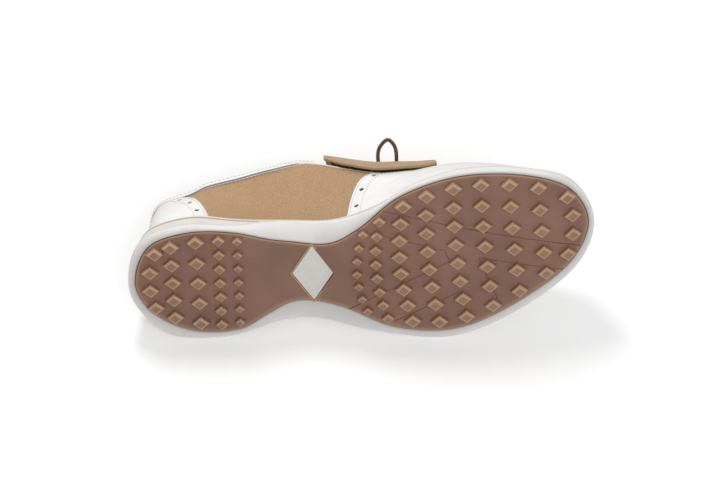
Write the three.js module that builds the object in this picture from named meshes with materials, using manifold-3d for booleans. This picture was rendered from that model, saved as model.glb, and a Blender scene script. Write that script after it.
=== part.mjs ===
// Left low-cut golf shoe with a studded rubber outsole, white cupsole, wingtip vamp,
// fringed kiltie and round laces.  Millimetres, +X towards the toe, +Y towards the
// outer (lateral) side, +Z up.  The stud faces under the heel stand on z = 0.
import * as THREE from 'three';
import { mergeVertices } from 'three/addons/utils/BufferGeometryUtils.js';
import Module from 'manifold-3d';

const wasm = await Module();
wasm.setup();

// ---------------------------------------------------------------- driving dimensions
const GAP = 0.3;                // clearance between neighbouring pieces
const STUD_HEIGHT = 4;
const TREAD_THICKNESS = 3;      // outsole plate above the studs
const CUP_FLOOR_TOP = 10;       // inner floor of the cupsole under heel and ball
const CUP_WALL = 3;
const CUP_LEAN = 3.5;           // how far the cup wall leans in from its foot to its lip
const TOE_SPRING = 12;          // rise of the tread over SPRING_RUN
const SPRING_START = 193;
const SPRING_RUN = 93;
const ARCH_RISE = 3;            // lift of the tread in the waist
const ARCH_FROM = 76;
const ARCH_TO = 138;
const FLEX_X = 197.2;           // ball flex line, between two rows of studs
const FLEX_Z = 8;
const FLEX_RANGE = 25;          // degrees the forefoot bends up
const BOARD = 1.8;              // insole board
const SOCKLINER = 3.6;
const LEATHER = 1.3;            // outer leather
const LINING = 1;
const THROAT_HALF = 12;         // half width of the open throat between the facings
const THROAT_REAR = 100;
const THROAT_FRONT = 158;
const CORD_RADIUS = 1.2;
const LAST_STEPS = 20;          // stations from heel to toe
const SOLE_STEPS = 28;          // stations of the sole, which waists and flares
const ARC_STEPS = 6;            // points up each side of the last
const TOP = 160;                // above everything
const WIDE = 90;                // beyond both sides

// Depth of each layer of the upper below the outer leather's face.
const OUTER = 0;
const QUARTER = OUTER + LEATHER + GAP;
const STIFFENER = QUARTER + LEATHER + GAP;
const LINER = STIFFENER + LINING + GAP;
const INSIDE = LINER + LINING;
const TONGUE_OUT = INSIDE + GAP;
const TONGUE_THICK = 2.6;
const KILTIE_IN = -5.4;
const KILTIE_OUT = KILTIE_IN - 1.8;

// ---------------------------------------------------------------- curves and levels
// A smooth function of x through [x, value] points, level beyond both ends.
function through(points) {
  const curve = new THREE.SplineCurve(points.map(([x, v]) => new THREE.Vector2(x, v)));
  const samples = curve.getPoints(points.length * 12);
  return (x) => {
    if (x <= samples[0].x) return samples[0].y;
    const next = samples.findIndex((p) => p.x >= x);
    if (next < 0) return samples[samples.length - 1].y;
    const a = samples[next - 1];
    const b = samples[next];
    return a.y + ((b.y - a.y) * (x - a.x)) / (b.x - a.x || 1);
  };
}

// Height of the tread's ground line: toe spring in front, a low arch in the waist.
function groundLine(x) {
  const ahead = Math.max(0, x - SPRING_START) / SPRING_RUN;
  const waist = THREE.MathUtils.clamp((x - ARCH_FROM) / (ARCH_TO - ARCH_FROM), 0, 1);
  return TOE_SPRING * ahead ** 2 + ARCH_RISE * Math.sin(Math.PI * waist) ** 2;
}
const above = (height) => (x) => groundLine(x) + (typeof height === 'function' ? height(x) : height);

// A closed plan outline.  at(s) gives the inner and outer sides at fraction s of its length.
class Outline {
  constructor(points) {
    this.points = points;
    const start = points.reduce((best, p, i) => (p.x < points[best].x ? i : best), 0);
    const ring = [...points.slice(start), ...points.slice(0, start + 1)];
    const tip = ring.reduce((best, p, i) => (p.x > ring[best].x ? i : best), 0);
    this.medial = ring.slice(0, tip + 1);
    this.lateral = ring.slice(tip).reverse();
    this.x0 = ring[0].x;
    this.x1 = ring[tip].x;
  }

  static spline(corners) {
    const knots = corners.map(([x, y]) => new THREE.Vector3(x, y, 0));
    const curve = new THREE.CatmullRomCurve3(knots, true, 'centripetal');
    return new Outline(curve.getSpacedPoints(480).slice(0, -1));
  }

  // The outline moved in by distance (out where it is negative).
  inset(distance) {
    const n = this.points.length;
    const moved = this.points.map((p, i) => {
      const along = this.points[(i + 2) % n].clone().sub(this.points[(i + n - 2) % n]).normalize();
      return new THREE.Vector3(p.x - along.y * distance, p.y + along.x * distance, 0);
    });
    return new Outline(moved);
  }

  static side(chain, x) {
    const next = chain.findIndex((p) => p.x >= x);
    if (next <= 0) return chain[Math.max(next, 0)].y;
    const a = chain[next - 1];
    const b = chain[next];
    return a.y + ((b.y - a.y) * (x - a.x)) / (b.x - a.x || 1);
  }

  at(s) {
    if (s <= 0) return { x: this.x0, medial: this.medial[0].y, lateral: this.medial[0].y };
    const tip = this.medial[this.medial.length - 1];
    if (s >= 1) return { x: this.x1, medial: tip.y, lateral: tip.y };
    const x = this.x0 + (this.x1 - this.x0) * s;
    return { x, medial: Outline.side(this.medial, x), lateral: Outline.side(this.lateral, x) };
  }
}

// Stations from heel (0) to toe (1), closer together at both rounded ends.
function stations(count) {
  return Array.from({ length: count + 1 }, (_, i) => (1 - Math.cos((Math.PI * i) / count)) / 2);
}

// ---------------------------------------------------------------- solids
// Skin over rings of equal length; the first and last ring are folded shut on themselves.
function skin(rings) {
  const width = rings[0].length;
  const positions = rings.flat().flatMap((p) => [p.x, p.y, p.z]);
  const index = [];
  for (let k = 0; k + 1 < rings.length; k += 1) {
    for (let j = 0; j < width; j += 1) {
      const a = k * width + j;
      const b = k * width + ((j + 1) % width);
      index.push(a, a + width, b, b, a + width, b + width);
    }
  }
  const geometry = new THREE.BufferGeometry();
  geometry.setAttribute('position', new THREE.Float32BufferAttribute(positions, 3));
  geometry.setIndex(index);
  return geometry;
}

// A manifold solid from a closed three.js geometry.
function solid(geometry) {
  const bare = geometry.index ? geometry.toNonIndexed() : geometry.clone();
  bare.deleteAttribute('normal');
  bare.deleteAttribute('uv');
  const merged = mergeVertices(bare, 1e-4);
  const corners = merged.index.array;
  const kept = [];
  for (let i = 0; i < corners.length; i += 3) {
    const [a, b, c] = corners.slice(i, i + 3);
    if (a !== b && b !== c && c !== a) kept.push(a, b, c);
  }
  const body = new wasm.Manifold(new wasm.Mesh({
    numProp: 3,
    vertProperties: Float32Array.from(merged.attributes.position.array),
    triVerts: Uint32Array.from(kept),
  }));
  if (body.volume() < 0) throw new Error('inside-out solid');
  return body;
}

function geometryOf(body) {
  const mesh = body.getMesh();
  const geometry = new THREE.BufferGeometry();
  const positions = new Float32Array(mesh.numVert * 3);
  for (let v = 0; v < mesh.numVert; v += 1) {
    for (let axis = 0; axis < 3; axis += 1) {
      positions[3 * v + axis] = mesh.vertProperties[mesh.numProp * v + axis];
    }
  }
  geometry.setAttribute('position', new THREE.BufferAttribute(positions, 3));
  geometry.setIndex(new THREE.BufferAttribute(Uint32Array.from(mesh.triVerts), 1));
  geometry.computeVertexNormals();
  return geometry;
}

// Levels stacked from bottom to top, each an outline at a height that is a function of x.
function stack(levels, steps = LAST_STEPS) {
  const rings = stations(steps).map((s) => {
    const points = levels.map(([outline, height]) => {
      const cut = outline.at(s);
      const z = height(cut.x);
      return [new THREE.Vector3(cut.x, cut.medial, z), new THREE.Vector3(cut.x, cut.lateral, z)];
    });
    return [...points.map((p) => p[0]), ...points.map((p) => p[1]).reverse()];
  });
  return solid(skin(rings));
}

function shapeOf(points) {
  return new THREE.Shape(points.map(([a, b]) => new THREE.Vector2(a, b)));
}

// A side-view shape ([x, z] points) carried right across the shoe.
function across(points, from = -WIDE, to = WIDE) {
  const geometry = new THREE.ExtrudeGeometry(shapeOf(points), { depth: to - from, bevelEnabled: false });
  geometry.rotateX(Math.PI / 2);
  geometry.translate(0, to, 0);
  return solid(geometry);
}

// A plan shape ([x, y] points) carried up through the shoe.
function upwards(points, from = -10, to = TOP) {
  const geometry = new THREE.ExtrudeGeometry(shapeOf(points), { depth: to - from, bevelEnabled: false });
  geometry.translate(0, 0, from);
  return solid(geometry);
}

function smooth(points, divisions = 2) {
  const curve = new THREE.SplineCurve(points.map(([a, b]) => new THREE.Vector2(a, b)));
  return curve.getPoints((points.length - 1) * divisions).map((p) => [p.x, p.y]);
}

// ---------------------------------------------------------------- sole outlines
const tread = Outline.spline([
  [5, -2], [17, -27], [42, -34], [72, -30], [98, -20], [126, -15], [146, -23], [174, -42],
  [212, -51], [252, -44], [277, -29], [286, -5], [275, 18], [240, 40], [196, 54], [160, 48],
  [128, 29], [100, 23], [82, 29], [64, 37], [34, 34], [12, 18],
]);
const cupFoot = Outline.spline([
  [0, 0], [11, -29], [40, -38], [76, -32], [124, -26], [156, -34], [184, -48], [214, -54],
  [250, -48], [279, -33], [290, -4], [280, 22], [244, 46], [194, 61], [152, 53], [110, 42],
  [82, 40], [54, 43], [20, 37], [4, 18],
]);
const cupLip = cupFoot.inset(CUP_LEAN);
const cavity = cupLip.inset(CUP_WALL);
const lipHeight = through([[0, 27], [60, 26], [110, 23.5], [150, 20.5], [200, 17], [291, 16]]);
const footHeight = through([[0, 7], [62, 7], [92, 13], [120, 13], [150, 8], [175, 7], [291, 7]]);
const boardHeight = through([[0, 18], [60, 17.5], [110, 15], [160, 12.8], [291, 12.5]]);

// ---------------------------------------------------------------- ball flex
// Everything that crosses the ball is cut there; above the hinge the cut opens into a V
// wide enough for the forefoot to bend up.
const HALF_V = THREE.MathUtils.degToRad(FLEX_RANGE / 2 + 0.8);
const vReach = Math.tan(HALF_V) * (TOP - FLEX_Z);
const behindFlex = across([
  [-20, -20], [FLEX_X - GAP, -20], [FLEX_X - GAP, FLEX_Z],
  [FLEX_X - GAP - vReach, TOP], [-20, TOP],
]);
const aheadOfFlex = across([
  [FLEX_X + GAP, -20], [320, -20], [320, TOP], [FLEX_X + GAP + vReach, TOP],
  [FLEX_X + GAP, FLEX_Z],
]);

// ---------------------------------------------------------------- studs
const STUDS = {
  large: { long: 11.4, wide: 9.6 },
  medium: { long: 8.4, wide: 7.4 },
  small: { long: 6.8, wide: 6 },
};
const STUD_FACE = 0.55;         // ground face as a share of the stud's root
const STUD_TURN = THREE.MathUtils.degToRad(5);
const BOW_CENTRE = 12;
// Studs left to right in one row across the tread: x on the centre line, how many, which
// size, how far the row leans with y and how much it bows forwards.
const HEEL_ROW = 12.5;
const HEEL_PITCH = 15.7;
const BALL_ROW = 168.5;
const BALL_PITCH = 17.7;
const BALL_COUNTS = [8, 8, 8, 7, 6, 5];
const BALL_BOW = 0.003;
const STUD_EDGE = { medial: 1.2, lateral: 2.7 };   // tread left outside the end studs
const studRows = [
  { x: HEEL_ROW, count: 4, size: 'large', lean: 0.19, bow: 0.01 },
  { x: HEEL_ROW + HEEL_PITCH, count: 5, size: 'large', lean: -0.1, bow: 0 },
  { x: HEEL_ROW + 2 * HEEL_PITCH, count: 5, size: 'large', lean: -0.1, bow: 0 },
  { x: 57.5, count: 7, size: 'medium', lean: -0.12, bow: 0 },
  { x: 69, count: 7, size: 'small', lean: -0.12, bow: 0 },
  { x: 141.5, count: 7, size: 'small', lean: 0, bow: 0.007 },
  { x: 153.5, count: 8, size: 'medium', lean: 0, bow: 0.004 },
  ...BALL_COUNTS.map((count, k) => (
    { x: BALL_ROW + BALL_PITCH * k, count, size: 'large', lean: 0, bow: BALL_BOW / (k + 1) }
  )),
  { x: 277.5, count: 4, size: 'large', lean: -0.42, bow: -0.0095 },
];

function studAt(x, y, { long, wide }) {
  const root = STUD_HEIGHT + 1;
  const face = STUD_FACE;
  const geometry = new THREE.CylinderGeometry(0.5, 0.5 * face, root, 4);
  geometry.rotateX(Math.PI / 2);
  geometry.scale(long, wide, 1);
  geometry.rotateZ(STUD_TURN);
  const slope = (groundLine(x + 1) - groundLine(x - 1)) / 2;
  geometry.rotateY(-Math.atan(slope));
  geometry.translate(x, y, groundLine(x) + root / 2);
  return solid(geometry);
}

const rowX = (row, y) => row.x + row.lean * y + row.bow * (y - BOW_CENTRE) ** 2;

// The y of a row's end stud, which stands STUD_EDGE inside the tread's edge.
function rowEnd(row, side) {
  const sign = side === 'medial' ? 1 : -1;
  const inside = sign * (STUDS[row.size].wide / 2 + STUD_EDGE[side]);
  let y = 0;
  for (let turn = 0; turn < 40; turn += 1) {
    y = (y + Outline.side(tread[side], rowX(row, y)) + inside) / 2;
  }
  return y;
}

function studPlaces() {
  return studRows.flatMap((row) => {
    const from = rowEnd(row, 'medial');
    const pitch = (rowEnd(row, 'lateral') - from) / (row.count - 1);
    return Array.from({ length: row.count }, (_, i) => {
      const y = from + pitch * i;
      return { x: rowX(row, y), y, size: STUDS[row.size] };
    });
  });
}

// ---------------------------------------------------------------- emblem
const EMBLEM = { x: 114.5, y: 4.5, long: 25.5, wide: 38.5, turn: 0.1, thick: 1.2 };

function rhombus(long, wide, thick, z) {
  const shape = shapeOf([[-long / 2, 0], [0, -wide / 2], [long / 2, 0], [0, wide / 2]]);
  const geometry = new THREE.ExtrudeGeometry(shape, { depth: thick, bevelEnabled: false });
  geometry.rotateZ(EMBLEM.turn);
  geometry.translate(EMBLEM.x, EMBLEM.y, z);
  return solid(geometry);
}
const emblemFace = groundLine(EMBLEM.x) + STUD_HEIGHT - 0.4;

// ---------------------------------------------------------------- the sole's pieces
const treadTop = STUD_HEIGHT + TREAD_THICKNESS;

function outsole() {
  const plate = stack([[tread, above(STUD_HEIGHT)], [tread, above(treadTop)]], SOLE_STEPS);
  const studs = studPlaces().map(({ x, y, size }) => studAt(x, y, size));
  const pocket = rhombus(EMBLEM.long + 2 * GAP, EMBLEM.wide + 2 * GAP, EMBLEM.thick + GAP, emblemFace);
  const under = rhombus(EMBLEM.long + 2 * GAP, EMBLEM.wide + 2 * GAP, 6, emblemFace - 6);
  return wasm.Manifold.union([plate, ...studs]).subtract(pocket).subtract(under);
}

function cupsole() {
  const outer = stack([
    [tread.inset(-1.6), above(STUD_HEIGHT + 0.5)],
    [cupFoot.inset(0.9), above((x) => footHeight(x) - 1)],
    [cupFoot, above((x) => footHeight(x) + 0.8)],
    [cupLip, above((x) => lipHeight(x) - 1)],
    [cupLip.inset(0.8), above(lipHeight)],
  ], SOLE_STEPS);
  const recess = stack([
    [tread.inset(-GAP), above(-2)],
    [tread.inset(-GAP), above(treadTop + GAP)],
  ], SOLE_STEPS);
  const well = stack([[cavity, above(CUP_FLOOR_TOP)], [cavity, above(60)]]);
  return outer.subtract(recess).subtract(well).subtract(pinstripeBand(0, GAP));
}

// The coloured line that runs round the heel just under the lip, let into a groove.
const STRIPE_DROP = 4.4;
const STRIPE_TALL = 1.4;
const STRIPE_DEEP = 0.9;
const STRIPE_END = 84;

function pinstripeBand(inner, clear) {
  const low = (x) => lipHeight(x) - STRIPE_DROP - STRIPE_TALL / 2 - clear;
  const high = (x) => lipHeight(x) - STRIPE_DROP + STRIPE_TALL / 2 + clear;
  const outside = cupLip.inset(inner ? 0.15 : -6);
  const ring = stack([[outside, above(low)], [outside, above(high)]], SOLE_STEPS);
  const core = cupLip.inset(STRIPE_DEEP - inner * GAP);
  const hole = stack([[core, above(-5)], [core, above(60)]], SOLE_STEPS);
  const rear = across([[-20, -5], [STRIPE_END + clear, -5], [STRIPE_END + clear, 60], [-20, 60]]);
  return ring.subtract(hole).intersect(rear);
}

const boardOutline = cavity.inset(INSIDE + 3 * GAP);
const WEDGE_FRONT = 178;
const CUSHION_REAR = 204;

function heelWedge() {
  const body = stack([
    [cavity.inset(GAP * 2), above(CUP_FLOOR_TOP + GAP)],
    [cavity.inset(GAP * 2), above((x) => boardHeight(x) - 3 * GAP)],
  ]);
  const rear = across([[-20, 0], [WEDGE_FRONT, 0], [WEDGE_FRONT, 60], [-20, 60]]);
  return body.intersect(rear).subtract(shankBar(GAP));
}

function forefootCushion() {
  const body = stack([
    [cavity.inset(GAP * 2), above(CUP_FLOOR_TOP + GAP)],
    [cavity.inset(GAP * 2), above((x) => boardHeight(x) - 3 * GAP)],
  ]);
  const front = across([[CUSHION_REAR, 0], [320, 0], [320, 60], [CUSHION_REAR, 60]]);
  return body.intersect(front);
}

// Steel shank under the insole board, from the heel seat to the joint.
const SHANK = { from: 52, to: 150, fromY: 2, toY: 6, half: 7, under: 2.4, thick: 1.4 };

function shankBar(clear) {
  const from = SHANK.from - clear;
  const to = SHANK.to + clear;
  const half = SHANK.half + clear;
  const bar = stack([
    [boardOutline, above((x) => boardHeight(x) - SHANK.under - clear)],
    [boardOutline, above((x) => boardHeight(x) - SHANK.under + SHANK.thick + clear * 3)],
  ]);
  const plan = [
    [from, SHANK.fromY - half], [from, SHANK.fromY + half], [to, SHANK.toY + half],
    [to, SHANK.toY - half],
  ];
  return bar.intersect(upwards(plan, 0, 60));
}

function insoleBoard() {
  return stack([
    [boardOutline, above(boardHeight)],
    [boardOutline, above((x) => boardHeight(x) + BOARD)],
  ]);
}

function sockliner() {
  const bottom = (x) => boardHeight(x) + BOARD + GAP;
  return stack([
    [boardOutline.inset(0.6), above(bottom)],
    [boardOutline.inset(1.4), above((x) => bottom(x) + SOCKLINER)],
  ]);
}

// ---------------------------------------------------------------- the last
// The upper is laid over a last: meridians rise from the base outline to a ridge line.
const lastBase = cavity.inset(2 * GAP);
const ridgeHeight = through([
  [20, 128], [70, 128], [100, 122], [120, 111], [147, 91], [165, 80], [180, 73.5], [196, 68],
  [215, 61.5], [235, 54.5], [250, 49.5], [262, 45.5],
]);
const ridgeSide = through([[20, 0], [60, 0], [110, -5], [150, -7], [196, -7], [262, -6]]);
const RIDGE_REAR = 22;
const RIDGE_FRONT = 262;
const ARC_POWER = 2.15;         // super-ellipse exponent of the meridians

const lastFloor = above((x) => boardHeight(x) - GAP);

const FULL_WIDTH = 50;          // no belly in the narrow tips of the heel and toe
// How far the meridians belly out beyond a plain super-ellipse, where the sole is waisted.
const belly = {
  medial: through([[10, -5], [35, -5], [50, 2], [72, 9], [95, 11], [125, 13], [160, 6], [185, 0]]),
  lateral: through([[10, -5], [35, -7], [55, -4], [90, 0], [125, 2], [160, 0]]),
};

// Point of the meridian that rises from foot; angle is 0 at the base, 90 degrees at the ridge.
function meridianPoint(foot, side, ridge, angle) {
  const floor = lastFloor(foot.x);
  const outward = Math.max(0, Math.cos(angle)) ** (2 / ARC_POWER);
  const upward = Math.sin(angle) ** (2 / ARC_POWER);
  const sign = side === 'medial' ? -1 : 1;
  const width = Math.min(1, (foot.lateral - foot.medial) / FULL_WIDTH);
  const swell = sign * width * belly[side](foot.x) * Math.sin(2 * angle) ** 3;
  return new THREE.Vector3(
    ridge.x + (foot.x - ridge.x) * outward,
    ridge.y + (foot[side] - ridge.y) * outward + swell,
    floor + (ridge.z - floor) * upward,
  );
}

// The ridge point that the meridian at fraction s of the last's length rises to.
function ridgePoint(s, depth) {
  const x = THREE.MathUtils.lerp(RIDGE_REAR + depth, RIDGE_FRONT - depth, s);
  return new THREE.Vector3(x, ridgeSide(x), ridgeHeight(x) - depth);
}

// The last as a solid, depth mm under its face; skirt carries its base further down and
// rise lifts it by a height that is a function of x.
function lastSolid(depth, skirt = 0, rise = () => 0) {
  const outline = lastBase.inset(depth);
  const rings = stations(LAST_STEPS).map((s) => {
    const foot = outline.at(s);
    const ridge = ridgePoint(s, depth);
    ridge.z += rise(ridge.x);
    const half = (side) => {
      const hem = new THREE.Vector3(foot.x, foot[side], lastFloor(foot.x) - skirt);
      const arc = Array.from({ length: ARC_STEPS + 1 }, (_, i) => (
        meridianPoint(foot, side, ridge, (Math.PI / 2) * (i / ARC_STEPS))
      ));
      return skirt ? [hem, ...arc] : arc;
    };
    return [...half('medial'), ...half('lateral').reverse().slice(1)];
  });
  return solid(skin(rings));
}

// A leather shell: its outer face depth mm under the last's face.
function shell(depth, thickness, rise) {
  return lastSolid(depth, 0, rise).subtract(lastSolid(depth + thickness, 8, rise));
}

// ---------------------------------------------------------------- edges of the upper
const collarLine = smooth([
  [-12, 77], [14, 77], [32, 75.5], [48, 77.5], [72, 81.5], [90, 88], [110, 97], [121, 102.5],
]);
const wingEdge = smooth([
  [135.5, 8], [138, 19], [140, 36], [142.1, 46.5], [146, 57], [151, 64], [160, 70.5], [172, 73],
]);
const capEdge = smooth([[54, 8], [53.5, 26], [51.5, 38], [46.5, 52], [41, 63], [34.5, 72], [27, 82]]);
const COLLAR_FOAM = 20;
const BINDING = 2.4;
const OVERLAP = 8;              // how far the quarters run under the vamp

const shifted = (points, dx, dz = 0) => points.map(([x, z]) => [x + dx, z + dz]);
const boxAcross = (from, to) => across([[from, -10], [to, -10], [to, TOP], [from, TOP]]);

// Everything under the collar line (lowered by drop) and ahead of its front end.
function belowCollar(drop = 0) {
  const line = shifted(collarLine, 0, -drop).reverse();
  return across([[-30, -10], [320, -10], [320, TOP], [122, TOP], ...line, [-30, 77 - drop]]);
}
function aheadOfWing(dx = 0) {
  return across([...shifted(wingEdge, dx), [172 + dx, TOP], [330, TOP], [330, 8]].reverse());
}
function behindWing(dx = 0) {
  return across([[-30, 8], ...shifted(wingEdge, dx), [172 + dx, TOP], [-30, TOP]]);
}
function behindCap(dx = 0) {
  return across([[-30, 8], ...shifted(capEdge, dx), [-30, 82]]);
}

// Lower edges, in side view, of the pieces that straddle the instep.
const facingHem = [[100, 80], [124, 78], [150, 62], [175, 46]];
const tongueHem = [[90, 88], [124, 74], [150, 58], [180, 46]];
const kiltieHem = [[118, 98], [150, 80], [165, 71], [200, 60]];
const aboveHem = (hem) => across([...hem, [hem[hem.length - 1][0], TOP], [hem[0][0], TOP]]);

// The open throat seen from above, widened by extra on every side.
function throat(extra = 0, from = THROAT_REAR) {
  const half = THROAT_HALF + extra;
  const front = THROAT_FRONT + extra;
  return upwards([
    [from, ridgeSide(from) - half - 1], [front - 6, ridgeSide(front) - half + 2],
    [front, ridgeSide(front) - half / 2], [front, ridgeSide(front) + half / 2],
    [front - 6, ridgeSide(front) + half - 2], [from, ridgeSide(from) + half + 1],
  ], 30);
}

// One side of the shoe: the seam plane follows the ridge, half a gap to each side.
function sideOf(side) {
  const sign = side === 'medial' ? -1 : 1;
  const seam = [[-30, 0], [60, 0], [110, -5], [150, -7], [330, -7]];
  const near = seam.map(([x, y]) => [x, y + (sign * GAP) / 2]);
  return upwards([...near, [330, sign * WIDE], [-30, sign * WIDE]]);
}

// ---------------------------------------------------------------- materials and the group
const finish = {
  rubber: { color: 0x8a6a58, roughness: 0.55, metalness: 0 },
  whiteRubber: { color: 0xece8e4, roughness: 0.6, metalness: 0 },
  whiteLeather: { color: 0xf2f0ec, roughness: 0.45, metalness: 0 },
  tanLeather: { color: 0xbc9a70, roughness: 0.6, metalness: 0 },
  tanStripe: { color: 0xc69a66, roughness: 0.6, metalness: 0 },
  suede: { color: 0xb79a78, roughness: 0.9, metalness: 0 },
  lining: { color: 0xd8d2c6, roughness: 0.85, metalness: 0 },
  foam: { color: 0xd0cabf, roughness: 0.95, metalness: 0 },
  board: { color: 0x9c8f7c, roughness: 0.9, metalness: 0 },
  stiffener: { color: 0xc8c0b0, roughness: 0.8, metalness: 0 },
  steel: { color: 0x9a9da0, roughness: 0.35, metalness: 0.9 },
  cord: { color: 0x50372a, roughness: 0.7, metalness: 0 },
  brass: { color: 0x8d7446, roughness: 0.35, metalness: 0.9 },
};

const shoe = new THREE.Group();
const sole = new THREE.Group();
const upper = new THREE.Group();
const lacing = new THREE.Group();
shoe.add(sole, upper, lacing);

function add(parent, name, body, look) {
  const mesh = new THREE.Mesh(geometryOf(body), new THREE.MeshStandardMaterial(finish[look]));
  mesh.name = name;
  parent.add(mesh);
  return mesh;
}

// A piece that crosses the ball flex, as its rear and front halves.
function addHalves(parent, name, body, look) {
  add(parent, `${name}_rear`, body.intersect(behindFlex), look);
  add(parent, `${name}_front`, body.intersect(aheadOfFlex), look);
}

addHalves(sole, 'outsole', outsole(), 'rubber');
addHalves(sole, 'cupsole', cupsole(), 'whiteRubber');
add(sole, 'waist_emblem', rhombus(EMBLEM.long, EMBLEM.wide, EMBLEM.thick, emblemFace), 'whiteRubber');
add(sole, 'heel_pinstripe', pinstripeBand(1, 0), 'tanStripe');
add(sole, 'heel_wedge', heelWedge(), 'foam');
add(sole, 'forefoot_cushion', forefootCushion(), 'foam');
add(sole, 'shank', shankBar(0), 'steel');
addHalves(sole, 'insole_board', insoleBoard(), 'board');
addHalves(sole, 'sockliner', sockliner(), 'lining');

// ---------------------------------------------------------------- eyelets
// Point and outward normal of the last's face, moved out by lift, at station x and reach mm
// to one side of the ridge.
function facePoint(x, side, reach, lift = 0) {
  const at = (station, turn) => {
    const s = (station - RIDGE_REAR) / (RIDGE_FRONT - RIDGE_REAR);
    return meridianPoint(lastBase.inset(-lift).at(s), side, ridgePoint(s, -lift), turn);
  };
  let angle = Math.PI / 2;
  while (Math.abs(at(x, angle).y - ridgeSide(x)) < reach) angle -= 0.002;
  const point = at(x, angle);
  const alongShoe = at(x + 1, angle).sub(at(x - 1, angle));
  const upArc = at(x, angle + 0.01).sub(at(x, angle - 0.01));
  const normal = alongShoe.cross(upArc).normalize();
  if (normal.z < 0) normal.negate();
  return { point, normal };
}

function placeOn(geometry, { point, normal }) {
  const turn = new THREE.Quaternion().setFromUnitVectors(new THREE.Vector3(0, 0, 1), normal);
  return geometry.applyQuaternion(turn).translate(point.x, point.y, point.z);
}

const EYELETS = [{ x: 128, reach: 18 }, { x: 140, reach: 17.5 }, { x: 152, reach: 17 }];
const EYELET_HOLE = 2.6;
const EYELET_BORE = 1.8;
const EYELET_BARREL = 2.2;
const EYELET_FLANGE = 3.5;
const EYELET_DEPTH = QUARTER + LEATHER + 0.2;

function eyelet(place) {
  const profile = [
    [EYELET_BORE, -EYELET_DEPTH], [EYELET_BARREL, -EYELET_DEPTH], [EYELET_BARREL, 2 * GAP],
    [EYELET_FLANGE, 2 * GAP], [EYELET_FLANGE - 0.4, 1.1], [EYELET_BORE, 1.1],
    [EYELET_BORE, -EYELET_DEPTH],
  ].map(([r, z]) => new THREE.Vector2(r, z));
  const ring = new THREE.LatheGeometry(profile, 8);
  return solid(placeOn(ring.rotateX(Math.PI / 2), place));
}
function eyeletHole(place) {
  const drill = new THREE.CylinderGeometry(EYELET_HOLE, EYELET_HOLE, 20, 8);
  return solid(placeOn(drill.rotateX(Math.PI / 2), place));
}

const eyeletPlaces = EYELETS.flatMap((row, i) => ['medial', 'lateral'].map((side) => (
  { name: `eyelet_${side}_${i + 1}`, side, place: facePoint(row.x, side, row.reach) }
)));
const holesOn = (side) => wasm.Manifold.union(
  eyeletPlaces.filter((eye) => eye.side === side).map(({ place }) => eyeletHole(place)),
);

// ---------------------------------------------------------------- the upper's pieces
const outerShell = shell(OUTER, LEATHER);
const quarterShell = shell(QUARTER, LEATHER);
const stiffenerShell = shell(STIFFENER, LINING);
const linerShell = shell(LINER, LINING);

const LINING_SEAM = 150;
const PUFF_BACK = 240;
const COUNTER_FRONT = 66;
addHalves(upper, 'vamp', outerShell.intersect(aheadOfWing(GAP)), 'whiteLeather');
addHalves(
  upper,
  'vamp_lining',
  linerShell.intersect(boxAcross(LINING_SEAM + GAP, 330)).subtract(throat(2)),
  'lining',
);
add(upper, 'toe_puff', quarterShell.intersect(boxAcross(PUFF_BACK, 330)), 'stiffener');
add(upper, 'heel_cap', outerShell.intersect(behindCap(-GAP)).intersect(belowCollar()), 'whiteLeather');
add(upper, 'heel_counter', stiffenerShell
  .intersect(boxAcross(-30, COUNTER_FRONT))
  .intersect(belowCollar(COLLAR_FOAM + GAP)), 'stiffener');

for (const side of ['medial', 'lateral']) {
  const half = sideOf(side);
  const quarter = quarterShell.intersect(behindWing(OVERLAP)).intersect(belowCollar());
  const holes = holesOn(side);
  add(upper, `quarter_${side}`, quarter.intersect(half).subtract(throat()).subtract(holes), 'tanLeather');
  const lining = linerShell
    .intersect(boxAcross(-30, LINING_SEAM))
    .intersect(belowCollar())
    .intersect(half)
    .subtract(throat(2))
    .subtract(holes);
  add(upper, `quarter_lining_${side}`, lining, 'lining');
  const facing = outerShell
    .intersect(behindWing(-GAP))
    .intersect(belowCollar())
    .intersect(half)
    .intersect(throat(16, 112))
    .intersect(aboveHem(facingHem))
    .subtract(throat())
    .subtract(holes);
  add(upper, `facing_${side}`, facing, 'tanLeather');
}

const FOAM_FRONT = 104;
const BINDING_FRONT = 117;
add(upper, 'collar_foam', stiffenerShell
  .intersect(belowCollar(GAP))
  .subtract(belowCollar(COLLAR_FOAM))
  .intersect(boxAcross(-30, FOAM_FRONT)), 'foam');
add(upper, 'collar_binding', shell(OUTER, INSIDE)
  .intersect(belowCollar(-GAP - BINDING))
  .subtract(belowCollar(-GAP))
  .intersect(boxAcross(-30, BINDING_FRONT)), 'whiteLeather');

const TONGUE_HINGE = 176;
const tonguePlan = upwards([
  [99, -19.5], [104, -20.3], [150, -20.5], [172, -18], [TONGUE_HINGE, -7], [172, 9], [150, 13],
  [104, 18], [99, 15],
], 30);
add(upper, 'tongue', shell(TONGUE_OUT, TONGUE_THICK)
  .intersect(tonguePlan)
  .intersect(aboveHem(tongueHem)), 'suede');

// ---------------------------------------------------------------- kiltie and laces
const KILTIE_HINGE = 172;
const KILTIE_FROM = 124;
const FRINGE_ROOT = 184;
const FRINGE_END = 197;
const TASSELS = 9;
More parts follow.
